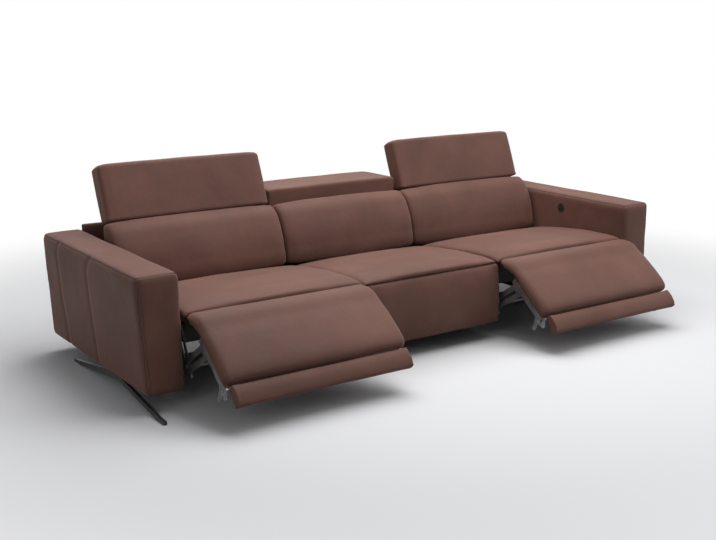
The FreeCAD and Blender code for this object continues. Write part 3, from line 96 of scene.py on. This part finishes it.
def seen_rays(tree):
    """One where a ray comes from the camera, a mirror or a clear surface."""
    path = tree.nodes.new("ShaderNodeLightPath")
    total = None
    for name in ("Is Camera Ray", "Is Glossy Ray", "Is Transmission Ray"):
        if total is None:
            total = path.outputs[name]
            continue
        most = tree.nodes.new("ShaderNodeMath")
        most.operation = "MAXIMUM"
        tree.links.new(total, most.inputs[0])
        tree.links.new(path.outputs[name], most.inputs[1])
        total = most.outputs[0]
    return total


world = bpy.data.worlds.new("surround")
bpy.context.scene.world = world
world.use_nodes = True
tree = world.node_tree
tree.nodes.clear()
soft_sky = tree.nodes.new("ShaderNodeBackground")
soft_sky.inputs["Color"].default_value = (0.93, 0.96, 1.0, 1)
soft_sky.inputs["Strength"].default_value = 0.2
white_sky = tree.nodes.new("ShaderNodeBackground")
white_sky.inputs["Color"].default_value = (1, 1, 1, 1)
mix = tree.nodes.new("ShaderNodeMixShader")
tree.links.new(seen_rays(tree), mix.inputs[0])
tree.links.new(soft_sky.outputs[0], mix.inputs[1])
tree.links.new(white_sky.outputs[0], mix.inputs[2])
world_out = tree.nodes.new("ShaderNodeOutputWorld")
tree.links.new(mix.outputs[0], world_out.inputs[0])

floor_material = bpy.data.materials.new("studio_floor")
floor_material.use_nodes = True
tree = floor_material.node_tree
tree.nodes.clear()
matt = tree.nodes.new("ShaderNodeBsdfDiffuse")
matt.inputs["Color"].default_value = FLOOR_SEEN
dim = tree.nodes.new("ShaderNodeBsdfDiffuse")
dim.inputs["Color"].default_value = FLOOR_BOUNCE
white = tree.nodes.new("ShaderNodeEmission")
white.inputs["Color"].default_value = (1, 1, 1, 1)
seen = seen_rays(tree)
near_floor = tree.nodes.new("ShaderNodeMixShader")
tree.links.new(seen, near_floor.inputs[0])
tree.links.new(dim.outputs[0], near_floor.inputs[1])
tree.links.new(matt.outputs[0], near_floor.inputs[2])
away = tree.nodes.new("ShaderNodeVectorMath")
away.operation = "LENGTH"
tree.links.new(tree.nodes.new("ShaderNodeTexCoord").outputs["Object"], away.inputs[0])
fade = tree.nodes.new("ShaderNodeMapRange")
fade.interpolation_type = "SMOOTHSTEP"
fade.inputs["From Min"].default_value = FADE_START
fade.inputs["From Max"].default_value = FADE_END
tree.links.new(away.outputs["Value"], fade.inputs["Value"])
faded = tree.nodes.new("ShaderNodeMath")
faded.operation = "MULTIPLY"
tree.links.new(fade.outputs["Result"], faded.inputs[0])
tree.links.new(seen, faded.inputs[1])
both = tree.nodes.new("ShaderNodeMixShader")
tree.links.new(faded.outputs[0], both.inputs[0])
tree.links.new(near_floor.outputs[0], both.inputs[1])
tree.links.new(white.outputs[0], both.inputs[2])
floor_out = tree.nodes.new("ShaderNodeOutputMaterial")
tree.links.new(both.outputs[0], floor_out.inputs[0])

floor_mesh = bpy.data.meshes.new("floor")
form = bmesh.new()
bmesh.ops.create_grid(form, x_segments=1, y_segments=1, size=FLOOR_HALF)
form.to_mesh(floor_mesh)
form.free()
floor_mesh.materials.append(floor_material)
floor = bpy.data.objects.new("floor", floor_mesh)
bpy.context.scene.collection.objects.link(floor)
floor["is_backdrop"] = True


def lamp(name, place, target, energy, width, height, colour=(1, 1, 1)):
    data = bpy.data.lights.new(name, "AREA")
    data.shape = "RECTANGLE"
    data.size = width
    data.size_y = height
    data.energy = energy
    data.color = colour
    item = bpy.data.objects.new(name, data)
    item.location = place
    item.rotation_mode = "QUATERNION"
    item.rotation_quaternion = (Vector(target) - Vector(place)).to_track_quat("-Z", "Y")
    bpy.context.scene.collection.objects.link(item)


lamp("overhead", (0.4, 0.1, 3.6), (0, 0, 0.3), 172, 5.0, 3.0)
lamp("right_window", (3.4, -2.6, 2.4), (0, -0.2, 0.3), 34, 2.4, 2.0)
lamp("left_fill", (-4.2, -2.4, 1.8), (-0.6, 0, 0.3), 16, 2.4, 2.0)


# Leather: brown nubuck. The nap shows as broad soft changes of tone, with a fine grain, a few
# darker pores and patches of slightly different shine.
def value_node(tree, kind, **inputs):
    item = tree.nodes.new(kind)
    for name, value in inputs.items():
        item.inputs[name].default_value = value
    return item


def noise_of(tree, source, scale, detail, rough=0.5):
    item = value_node(tree, "ShaderNodeTexNoise", Scale=scale, Detail=detail, Roughness=rough)
    tree.links.new(source, item.inputs["Vector"])
    return item.outputs["Fac"]


def ramp_of(tree, source, *stops):
    item = tree.nodes.new("ShaderNodeValToRGB")
    ramp = item.color_ramp
    for index, (place, colour) in enumerate(stops):
        stop = ramp.elements[index] if index < 2 else ramp.elements.new(place)
        stop.position = place
        stop.color = (*colour, 1)
    tree.links.new(source, item.inputs["Fac"])
    return item.outputs["Color"]


def blended(tree, mode, share, first, second):
    item = tree.nodes.new("ShaderNodeMix")
    item.data_type = "RGBA"
    item.blend_type = mode
    if isinstance(share, float):
        item.inputs["Factor"].default_value = share
    else:
        tree.links.new(share, item.inputs["Factor"])
    tree.links.new(first, item.inputs["A"])
    tree.links.new(second, item.inputs["B"])
    return item.outputs["Result"]


def bumped(tree, height, strength, distance, normal=None):
    item = value_node(tree, "ShaderNodeBump", Strength=strength, Distance=distance)
    tree.links.new(height, item.inputs["Height"])
    if normal is not None:
        tree.links.new(normal, item.inputs["Normal"])
    return item.outputs["Normal"]


def new_material(name, **inputs):
    """A node material with its shader and the object's own coordinates."""
    material = bpy.data.materials.new(name)
    material.use_nodes = True
    tree = material.node_tree
    shader = tree.nodes["Principled BSDF"]
    for socket, value in inputs.items():
        shader.inputs[socket.replace("_", " ")].default_value = value
    places = tree.nodes.new("ShaderNodeTexCoord").outputs["Object"]
    return material, tree, shader, places


def leather_material(name, tint):
    material, tree, shader, places = new_material(
        name,
        Roughness=0.62,
        Specular_IOR_Level=0.2,
        Sheen_Weight=0.3,
        Sheen_Roughness=0.45,
        Sheen_Tint=(0.85, 0.55, 0.46, 1),
    )
    broad = noise_of(tree, places, 2.6, 3.0, 0.55)
    patch = noise_of(tree, places, 11.0, 4.0, 0.6)
    grain = noise_of(tree, places, 420.0, 3.0, 0.6)
    dark = tuple(c * 0.78 for c in tint)
    light = tuple(c * 1.2 for c in tint)
    tone = ramp_of(tree, broad, (0.3, dark), (0.72, light))
    nap = ramp_of(tree, patch, (0.3, (0.9, 0.9, 0.9)), (0.75, (1.08, 1.07, 1.06)))
    fleck = ramp_of(tree, grain, (0.3, (0.86, 0.84, 0.83)), (0.62, (1.04, 1.04, 1.04)))
    colour = blended(tree, "MULTIPLY", 1.0, tone, nap)
    colour = blended(tree, "MULTIPLY", 0.8, colour, fleck)
    tree.links.new(colour, shader.inputs["Base Color"])
    shine = ramp_of(tree, patch, (0.25, (0.56, 0.56, 0.56)), (0.8, (0.72, 0.72, 0.72)))
    tree.links.new(shine, shader.inputs["Roughness"])
    cells = value_node(tree, "ShaderNodeTexVoronoi", Scale=560.0, Randomness=1.0)
    tree.links.new(places, cells.inputs["Vector"])
    normal = bumped(tree, cells.outputs["Distance"], 0.22, 0.0006)
    normal = bumped(tree, grain, 0.25, 0.0006, normal)
    normal = bumped(tree, noise_of(tree, places, 34.0, 2.0), 0.3, 0.003, normal)
    tree.links.new(normal, shader.inputs["Normal"])
    return material


leather = leather_material("nubuck_leather", (0.140, 0.066, 0.050))
thread_material, tree, shader, places = new_material("sewing_thread", Roughness=0.75)
twist = value_node(tree, "ShaderNodeTexWave", Scale=700.0, Distortion=1.0)
tree.links.new(places, twist.inputs["Vector"])
tree.links.new(
    ramp_of(tree, twist.outputs["Fac"], (0.2, (0.018, 0.008, 0.006)), (0.8, (0.034, 0.015, 0.011))),
    shader.inputs["Base Color"],
)


# Making of soft pieces: a closed form is remeshed evenly, smoothed, swelled between its held
# borders and sewn. Seams are valleys in the leather with a row of stitches on each.
def new_object(name, mesh, *materials):
    for material in materials:
        mesh.materials.append(material)
    item = bpy.data.objects.new(name, mesh)
    bpy.context.scene.collection.objects.link(item)
    return item


def made(name, form, *materials):
    """An object of a bmesh, with its faces smooth."""
    bmesh.ops.recalc_face_normals(form, faces=form.faces)
    mesh = bpy.data.meshes.new(name)
    for face in form.faces:
        face.smooth = True
    form.to_mesh(mesh)
    form.free()
    return new_object(name, mesh, *materials)


def applied(item):
    """Applies an object's modifiers to its mesh."""
    graph = bpy.context.evaluated_depsgraph_get()
    mesh = bpy.data.meshes.new_from_object(item.evaluated_get(graph))
    old = item.data
    item.modifiers.clear()
    item.data = mesh
    bpy.data.meshes.remove(old)
    for face in mesh.polygons:
        face.use_smooth = True


def remeshed(item, voxel, smoothing):
    change = item.modifiers.new("even", "REMESH")
    change.mode = "VOXEL"
    change.voxel_size = voxel
    soften = item.modifiers.new("soften", "SMOOTH")
    soften.factor = 0.5
    soften.iterations = smoothing
    applied(item)


SWELL_ROUNDS = 40


def puffed(item, hold, most):
    """Swells a form as padded leather does. hold(place, normal) is 1 where it stays still."""
    mesh = item.data
    count = len(mesh.vertices)
    normals = np.array([v.normal for v in mesh.vertices])
    free = np.array([1.0 - hold(v.co, v.normal) for v in mesh.vertices])
    ends = np.empty(len(mesh.edges) * 2, dtype=np.int64)
    mesh.edges.foreach_get("vertices", ends)
    first, second = ends[0::2], ends[1::2]
    around = np.bincount(ends, minlength=count)
    push = free.copy()
    for _ in range(SWELL_ROUNDS):
        total = np.bincount(first, push[second], count) + np.bincount(second, push[first], count)
        push = free * total / np.maximum(around, 1)
    places = np.array([v.co for v in mesh.vertices]) + normals * (push * most)[:, None]
    mesh.vertices.foreach_set("co", places.ravel())
    mesh.update()


def away_from(places, path):
    """How far each of many places is from a line through points."""
    least = np.full(len(places), 1e9)
    for a, b in zip(path, path[1:]):
        start = np.array(a)
        along = np.array(b) - start
        share = np.clip((places - start) @ along / max(along @ along, 1e-12), 0, 1)
        least = np.minimum(least, np.linalg.norm(places - start - share[:, None] * along, axis=1))
    return least


def resampled(path, step):
    out = [path[0].copy()]
    for a, b in zip(path, path[1:]):
        count = max(1, round((b - a).length / step))
        out.extend(a.lerp(b, index / count) for index in range(1, count + 1))
    return out


SEAM_STEP = 0.012
SEAM_REACH = (0.010, 0.005)
SEAM_BROAD = 0.016
SEAM_NARROW = 0.0028
STITCH_STEP = 0.009
STITCH_LIFT = 0.0001
STITCH_HALF = (0.0058, 0.0013, 0.0009)


def surface_of(item):
    form = bmesh.new()
    form.from_mesh(item.data)
    form.normal_update()
    found = BVHTree.FromBMesh(form)
    return form, found


def laid(item, path, step):
    """A path's points on an object's surface, with the surface's normal at each."""
    form, found = surface_of(item)
    places = []
    for point in resampled(path, step):
        place, normal, _, _ = found.find_nearest(point)
        places.append((place, normal))
    form.free()
    return places


def sewn(item, paths, broad, narrow, stitches=True):
    """Sinks seams into a piece, broadly and narrowly, and lays stitches along them."""
    lines = [[place for place, _ in laid(item, path, SEAM_STEP)] for path in paths]
    form = bmesh.new()
    form.from_mesh(item.data)
    for reach in SEAM_REACH:
        centres = np.array([f.calc_center_median() for f in form.faces])
        close = np.min([away_from(centres, line) for line in lines], axis=0) < reach
        form.faces.ensure_lookup_table()
        near = {e for index in np.flatnonzero(close) for e in form.faces[index].edges}
        bmesh.ops.subdivide_edges(form, edges=list(near), cuts=1, use_grid_fill=True)
    form.normal_update()
    places = np.array([v.co for v in form.verts])
    away = np.min([away_from(places, line) for line in lines], axis=0)
    sink = broad * np.exp(-((away / SEAM_BROAD) ** 2))
    sink += narrow * np.exp(-((away / SEAM_NARROW) ** 2))
    for vertex, depth in zip(form.verts, sink):
        if depth > 1e-5:
            vertex.co -= vertex.normal * depth
    for face in form.faces:
        face.smooth = True
    form.to_mesh(item.data)
    form.free()
    if stitches:
        stitched(item, paths)


def stitched(item, paths):
    """Rows of thread stitches on a piece, made one object that goes with it."""
    form = bmesh.new()
    for path in paths:
        places = laid(item, path, STITCH_STEP)
        for (a, normal), (b, _) in zip(places, places[1:]):
            along = b - a
            if along.length < 1e-5:
                continue
            middle = (a + b) / 2 + normal * STITCH_LIFT
            sideways = normal.cross(along).normalized()
            axes = Matrix((along.normalized(), sideways, normal)).transposed()
            turn = Matrix.Translation(middle) @ axes.to_4x4()
            stretch = Matrix.Diagonal((*STITCH_HALF, 1))
            bmesh.ops.create_icosphere(form, subdivisions=1, radius=1, matrix=turn @ stretch)
    row = made(item.name + "_stitches", form, thread_material)
    row.parent = item
    return row


def finished(item, body, slot, *nodes, fill=0.75):
    """Attaches a soft piece to its body and hides the CAD nodes that it stands for."""
    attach(item, body)
    if nodes:
        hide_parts(*nodes)
    return item


def copy_of(node, name, keep=None):
    """The form of a CAD node as a new piece, or only the faces whose X has the sign of keep."""
    form = bmesh.new()
    form.from_mesh(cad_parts[node].data)
    bmesh.ops.remove_doubles(form, verts=form.verts, dist=1e-5)
    if keep is not None:
        lost = [v for v in form.verts if v.co.x * keep < 0]
        bmesh.ops.delete(form, geom=lost, context="VERTS")
    return made(name, form, leather)


def refined(item):
    step = item.modifiers.new("fine", "SUBSURF")
    step.levels = 1
    step.render_levels = 1
    applied(item)


def uneven(item, depth, scale, seed):
    """Soft unevenness of stuffing under leather."""
    shift = Vector((seed, seed * 0.37, -seed))
    moved = []
    for vertex in item.data.vertices:
        push = noise.noise(vertex.co * scale + shift)
        moved.extend(vertex.co + vertex.normal * push * depth)
    item.data.vertices.foreach_set("co", moved)
    item.data.update()


SIDES = (("left", -1), ("right", 1))


SEAT_INNER, SEAT_OUTER = 0.4035, 1.292


def side_ends(hand, inset):
    """The low and high X of one side seat, drawn in by an inset."""
    return sorted((hand * (SEAT_INNER + inset), hand * (SEAT_OUTER - inset)))


# Arms: foam under leather on a board box, sewn in panels. A seam follows the outer top edge, the
# front top edge and the inner top edge, and a doubled seam runs down the front near the outside.
ARM_FACE, ARM_OUT, ARM_TAPER = 1.305, 1.5, 0.025
ARM_LOW, ARM_TOP = 0.082, 0.58
ARM_FRONT_LOW, ARM_FRONT, ARM_REAR_LOW, ARM_REAR = -0.3822, -0.3652, 0.7158, 0.7108
ARM_ROUND = 0.017


def arm_point(hand, out, back, up):
    """A place on an arm's block by shares from 0 to 1: outwards, to the rear and up."""
    outer = ARM_OUT - ARM_TAPER * (1 - up)
    front = ARM_FRONT_LOW + (ARM_FRONT - ARM_FRONT_LOW) * up
    rear = ARM_REAR_LOW + (ARM_REAR - ARM_REAR_LOW) * up
    x = ARM_FACE + (outer - ARM_FACE) * out
    return Vector((hand * x, front + (rear - front) * back, ARM_LOW + (ARM_TOP - ARM_LOW) * up))


for side, hand in SIDES:
    form = bmesh.new()
    corners = {}
    for out in (0, 1):
        for rear in (0, 1):
            for up in (0, 1):
                corners[out, rear, up] = form.verts.new(arm_point(hand, out, rear, up))
    for a, b, c, d in (
        ((0, 0, 0), (0, 1, 0), (0, 1, 1), (0, 0, 1)),
        ((1, 0, 0), (1, 1, 0), (1, 1, 1), (1, 0, 1)),
        ((0, 0, 0), (1, 0, 0), (1, 0, 1), (0, 0, 1)),
        ((0, 1, 0), (1, 1, 0), (1, 1, 1), (0, 1, 1)),
        ((0, 0, 0), (1, 0, 0), (1, 1, 0), (0, 1, 0)),
        ((0, 0, 1), (1, 0, 1), (1, 1, 1), (0, 1, 1)),
    ):
        form.faces.new([corners[k] for k in (a, b, c, d)])
    soft_edges = [e for e in form.edges if max(v.co.z for v in e.verts) > ARM_LOW + 0.01]
    bmesh.ops.bevel(
        form, geom=soft_edges, offset=ARM_ROUND, segments=4, profile=0.5, affect="EDGES"
    )
    arm = made("arm_cover_" + side, form, leather)
    remeshed(arm, 0.012, 5)
    uneven(arm, 0.0022, 5.0, 3.1 + hand)
    seams = [
        [arm_point(hand, 0.985, 0.012, 0.985), arm_point(hand, 0.99, 0.99, 0.985)],
        [arm_point(hand, 0.02, 0.012, 0.985), arm_point(hand, 0.02, 0.99, 0.985)],
        [arm_point(hand, 0.02, 0.012, 0.982), arm_point(hand, 0.98, 0.012, 0.982)],
        [arm_point(hand, 0.9, 0.0, 0.975), arm_point(hand, 0.9, 0.0, 0.0)],
        [arm_point(hand, 0.97, 0.0, 0.97), arm_point(hand, 0.985, 0.006, 0.0)],
    ]
    sewn(arm, seams, 0.002, 0.0018)
    panel_seams = [
        [
            arm_point(hand, 1, 0.80, 0.97),
            arm_point(hand, 1, 0.83, 0.86),
            arm_point(hand, 1, 0.825, 0.45),
            arm_point(hand, 1, 0.79, 0.0),
        ],
        [
            arm_point(hand, 1, 0.45, 0.97),
            arm_point(hand, 1, 0.50, 0.84),
            arm_point(hand, 1, 0.49, 0.45),
            arm_point(hand, 1, 0.47, 0.0),
        ],
    ]
    sewn(arm, panel_seams, 0.0035, 0.0006, stitches=False)
    finished(arm, "root", "leather", "arm_covers", fill=0.9)

# Seats. Each is a crowned cushion. On the side seats the leather runs on over the knee to the
# footrest pad, and a seam crosses it at the front edge of the seat.

def held_below(height):
    """Holds the underside, the rear and the ends, and leaves the sitting surface free."""

    def share(place, normal):
        if place.z < height:
            return 1.0
        return 1.0 if normal.z < -0.2 else max(0.0, min(1.0, 0.9 - normal.z))

    return share


for side, hand in SIDES:
    seat = copy_of("seat_cushions_side", "seat_cushion_" + side, keep=hand)
    remeshed(seat, 0.009, 7)
    puffed(seat, held_below(0.33), 0.008)
    refined(seat)
    uneven(seat, 0.0016, 6.0, 9.0 + hand)
    finished(seat, "root", "leather", "seat_cushions_side", fill=0.7)

centre_seat = copy_of("seat_cushion_centre", "seat_cushion_centre_leather")
remeshed(centre_seat, 0.009, 7)
puffed(centre_seat, held_below(0.33), 0.008)
refined(centre_seat)
uneven(centre_seat, 0.0016, 6.0, 21.0)
finished(centre_seat, "root", "leather", "seat_cushion_centre", fill=0.7)

front_panel = copy_of("centre_front_panel", "centre_front_panel_leather")
remeshed(front_panel, 0.007, 5)
puffed(
    front_panel,
    lambda place, normal: 1.0 if normal.y > -0.3 or abs(place.x) > 0.385 else 0.0,
    0.010,
)
refined(front_panel)
uneven(front_panel, 0.0022, 5.0, 31.0)
finished(front_panel, "root", "leather", "centre_front_panel", fill=0.6)


# Footrest leather: one pad from the seat's seam over the knee and down to the flap. It is made as
# one form and cut at the knee: the short roll is attached to the root and the long pad to the
# footrest.
TILT = math.radians(39.36)
KNEE = (FRONT - 0.120, 0.382)


def pad_place(along, depth):
    """Y and Z of a place on the open footrest: along its face from the knee, and in from it."""
    y = KNEE[0] - along * math.cos(TILT) + depth * math.sin(TILT)
    z = KNEE[1] - along * math.sin(TILT) - depth * math.cos(TILT)
    return y, z


def smooth_closed(points, steps):
    """Points of a rounded closed line through a few places, by Catmull and Rom's rule."""
    out = []
    count = len(points)
    for index in range(count):
        p = [Vector(points[(index + k - 1) % count]) for k in range(4)]
        for step in range(steps):
            t = step / steps
            out.append(
                0.5
                * (
                    2 * p[1]
                    + (p[2] - p[0]) * t
                    + (2 * p[0] - 5 * p[1] + 4 * p[2] - p[3]) * t * t
                    + (3 * p[1] - p[0] - 3 * p[2] + p[3]) * t * t * t
                )
            )
    return out


STATIONS = 40


def lofted(name, outline, low, high, draw, crown, closes):
    """A closed form of one side outline along X, fuller in the middle and drawn in at its ends."""
    form = bmesh.new()
    rings = []
    count = len(outline)
    for station in range(STATIONS + 1):
        share = station / STATIONS
        x = low + (high - low) * share
        end = min(share, 1 - share) * (high - low)
        inset = 0.0
        if end < draw:
            inset = draw - math.sqrt(max(0.0, draw * draw - (draw - end) ** 2))
        swell = crown * math.sin(math.pi * share) ** 0.7
        ring = []
        for index, point in enumerate(outline):
            before, after = outline[index - 1], outline[(index + 1) % count]
            along = (after - before).normalized()
            outward = Vector((along.y, -along.x))
            moved = point + outward * (swell * closes(point) - inset)
            ring.append(form.verts.new((x, moved.x, moved.y)))
        rings.append(ring)
    for one, other in zip(rings, rings[1:]):
        for index in range(count):
            after = (index + 1) % count
            form.faces.new((one[index], one[after], other[after], other[index]))
    for ring in (rings[0], rings[-1]):
        bmesh.ops.triangulate(form, faces=[form.faces.new(ring)])
    return made(name, form, leather)


def cut_at(item, name, place, normal):
    """A copy of a piece's part on one side of a plane, closed where it is cut."""
    form = bmesh.new()
    form.from_mesh(item.data)
    result = bmesh.ops.bisect_plane(
        form,
        geom=form.verts[:] + form.edges[:] + form.faces[:],
        plane_co=place,
        plane_no=normal,
        clear_outer=True,
    )
    rim = [e for e in result["geom_cut"] if isinstance(e, bmesh.types.BMEdge)]
    bmesh.ops.triangle_fill(form, use_beauty=True, edges=rim)
    for edge in rim:
        if edge.is_valid:
            edge.smooth = False
    return made(name, form, leather)


OUTLINE = [(FRONT - 0.0012, 0.402), (FRONT - 0.045, 0.402), (FRONT - 0.095, 0.3915)]
OUTLINE += [pad_place(a, d) for a, d in ((0.03, 0.0035), (0.09, -0.0045), (0.17, -0.0085))]
OUTLINE += [pad_place(a, d) for a, d in ((0.235, -0.0075), (0.268, 0.0), (0.279, 0.018))]
OUTLINE += [pad_place(a, d) for a, d in ((0.275, 0.038), (0.262, 0.0495), (0.2, 0.0495))]
OUTLINE += [pad_place(a, d) for a, d in ((0.1, 0.0495), (0.03, 0.048))]
OUTLINE += [(FRONT - 0.075, 0.346), (FRONT - 0.03, 0.358), (FRONT - 0.0012, 0.381)]


def on_top(point):
    """One on the upper face of the footrest pad, nothing at its rear face."""
    away = Vector(point) - Vector(KNEE)
    depth = away.x * math.sin(TILT) - away.y * math.cos(TILT)
    return max(0.0, min(1.0, 1.0 - depth / 0.03))


PAD_INNER, PAD_OUTER = 0.41, 1.285


def footrest_hold(place, normal):
    """Holds all but the upper face, and the ends of that."""
    if abs(place.x) > PAD_OUTER or abs(place.x) < PAD_INNER:
        return 1.0
    facing = -normal.y * math.sin(TILT) + normal.z * math.cos(TILT)
    return 0.0 if facing > 0.6 else 1.0


for side, hand in SIDES:
    low, high = side_ends(hand, 0.0025)
    outline = smooth_closed(OUTLINE, 6)
    whole = lofted("footrest_whole_" + side, outline, low, high, 0.016, 0.006, on_top)
    remeshed(whole, 0.009, 3)
    puffed(whole, footrest_hold, 0.007)
    refined(whole)
    uneven(whole, 0.0018, 6.0, 40.0 + hand)
    knee_cut = Vector((0, KNEE[0] + 0.004, KNEE[1]))
    cut_normal = Vector((0, math.cos(TILT / 2), math.sin(TILT / 2)))
    roll = cut_at(whole, "knee_roll_leather_" + side, knee_cut, -cut_normal)
    pad = cut_at(whole, "footrest_pad_leather_" + side, knee_cut, cut_normal)
    bpy.data.objects.remove(whole)
    finished(pad, "footrest_" + side, "leather", "footrest_pad_" + side, fill=0.7)
    finished(roll, "root", "leather", "knee_roll_" + side, fill=0.7)
    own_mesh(roll)
    flap = copy_of("flap_pad_" + side, "flap_pad_leather_" + side)
    remeshed(flap, 0.006, 4)
    puffed(flap, lambda place, normal: 0.0 if normal.y < -0.2 else 1.0, 0.005)
    refined(flap)
    uneven(flap, 0.001, 7.0, 50.0 + hand)
    finished(flap, "flap_" + side, "leather", "flap_pad_" + side, fill=0.7)

# Backs and headrests: fuller cushions, leaning, with the centre headrest folded back flat.
for side, body in (("left", "back_left"), ("centre", "root"), ("right", "back_right")):
    cushion = copy_of("back_cushion_" + side, "back_cushion_leather_" + side)
    remeshed(cushion, 0.009, 8)
    puffed(
        cushion,
        lambda place, normal: 1.0 if normal.y > -0.15 else max(0.0, min(1.0, 1.0 + normal.y * 1.6)),
        0.010,
    )
    refined(cushion)
    uneven(cushion, 0.002, 5.0, 60.0 + len(side))
    finished(cushion, body, "leather", "back_cushion_" + side, fill=0.75)

def closed_over(item):
    """Draws the cover straight over the hinge slots, which the folded headrest hides."""
    form = bmesh.new()
    form.from_mesh(item.data)
    hull = bmesh.ops.convex_hull(form, input=form.verts)
    inner = [g for g in hull["geom_interior"] if isinstance(g, bmesh.types.BMVert)]
    bmesh.ops.delete(form, geom=inner, context="VERTS")
    kept = {g for g in hull["geom"] if isinstance(g, bmesh.types.BMFace)}
    lost = [f for f in form.faces if f not in kept]
    bmesh.ops.delete(form, geom=lost, context="FACES")
    form.to_mesh(item.data)
    form.free()


for side in ("left", "centre", "right"):
    headrest = copy_of("headrest_pad_" + side, "headrest_leather_" + side)
    if side == "centre":
        closed_over(headrest)
    remeshed(headrest, 0.0065, 6)
    refined(headrest)
    uneven(headrest, 0.0016, 6.0, 70.0 + len(side))
    finished(headrest, "headrest_" + side, "leather", "headrest_pad_" + side, fill=0.8)

# Rear wall: a thin padded board in leather between the arms.
wall = copy_of("rear_wall", "rear_wall_leather")
remeshed(wall, 0.008, 3)
refined(wall)
uneven(wall, 0.0012, 6.0, 80.0)
finished(wall, "root", "leather", "rear_wall", fill=0.9)


# Hard parts: each CAD node keeps its form and gets a worked material.
def metal_material(name, colour, metallic, roughness, mottle, bump):
    material, tree, shader, places = new_material(name, Metallic=metallic)
    cloud = noise_of(tree, places, 26.0, 5.0, 0.6)
    fine = noise_of(tree, places, 380.0, 3.0, 0.6)
    dark = tuple(c * (1 - mottle) for c in colour)
    light = tuple(c * (1 + mottle) for c in colour)
    tree.links.new(ramp_of(tree, cloud, (0.3, dark), (0.7, light)), shader.inputs["Base Color"])
    low, high = roughness
    tree.links.new(
        ramp_of(tree, cloud, (0.3, (low,) * 3), (0.75, (high,) * 3)), shader.inputs["Roughness"]
    )
    tree.links.new(bumped(tree, fine, bump, 0.0005), shader.inputs["Normal"])
    return material


zinc = metal_material("zinc_plate", (0.33, 0.335, 0.34), 0.9, (0.3, 0.46), 0.12, 0.12)
black_steel = metal_material("black_steel", (0.018, 0.018, 0.019), 0.0, (0.38, 0.5), 0.15, 0.2)
skid_coat = metal_material("skid_coat", (0.036, 0.033, 0.036), 0.25, (0.34, 0.46), 0.1, 0.35)
rod_steel = metal_material("rod_steel", (0.6, 0.6, 0.61), 1.0, (0.16, 0.26), 0.05, 0.05)
moulded = metal_material("moulded_black", (0.016, 0.016, 0.017), 0.0, (0.45, 0.6), 0.1, 0.3)
bronzed = metal_material("bronzed_plate", (0.05, 0.028, 0.021), 0.3, (0.4, 0.5), 0.08, 0.1)
rubber = metal_material("rubber", (0.02, 0.02, 0.02), 0.0, (0.7, 0.85), 0.15, 0.4)

def wood_material(name, dark, light):
    material, tree, shader, places = new_material(name, Roughness=0.6)
    stretched = tree.nodes.new("ShaderNodeMapping")
    stretched.inputs["Scale"].default_value = (3.0, 60.0, 60.0)
    tree.links.new(places, stretched.inputs["Vector"])
    figure = noise_of(tree, stretched.outputs[0], 1.0, 5.0, 0.6)
    tree.links.new(ramp_of(tree, figure, (0.3, dark), (0.7, light)), shader.inputs["Base Color"])
    tree.links.new(bumped(tree, figure, 0.2, 0.0005), shader.inputs["Normal"])
    return material


wood = wood_material("beech_ply", (0.19, 0.11, 0.06), (0.42, 0.28, 0.16))
stained = wood_material("stained_timber", (0.012, 0.009, 0.008), (0.03, 0.022, 0.018))

web, tree, shader, places = new_material("elastic_web", Roughness=0.8)
weave = value_node(tree, "ShaderNodeTexChecker", Scale=400.0)
weave.inputs["Color1"].default_value = (0.03, 0.03, 0.03, 1)
weave.inputs["Color2"].default_value = (0.07, 0.07, 0.07, 1)
tree.links.new(places, weave.inputs["Vector"])
tree.links.new(weave.outputs["Color"], shader.inputs["Base Color"])
tree.links.new(bumped(tree, weave.outputs["Fac"], 0.4, 0.0005), shader.inputs["Normal"])

FINISHES = (
    (zinc, ("drive_links", "swing_links", "outer_links", "inner_links", "footrest_brackets")),
    (zinc, ("flap_necks", "flap_hinges")),
    (black_steel, ("back_frame", "headrest_arms", "headrest_ears", "side_plates", "cross_members")),
    (skid_coat, ("skids",)),
    (rod_steel, ("footrest_rod", "recline_rod")),
    (moulded, ("actuator_housings", "power_supply", "button")),
    (bronzed, ("control_plates",)),
    (rubber, ("feet",)),
    (wood, ("footrest_board", "back_board")),
    (stained, ("base_timbers", "arm_frames")),
    (web, ("seat_webbing",)),
)
for name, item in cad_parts.items():
    for material, starts in FINISHES:
        if name.startswith(starts):
            item.data.materials.clear()
            item.data.materials.append(material)

low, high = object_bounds()
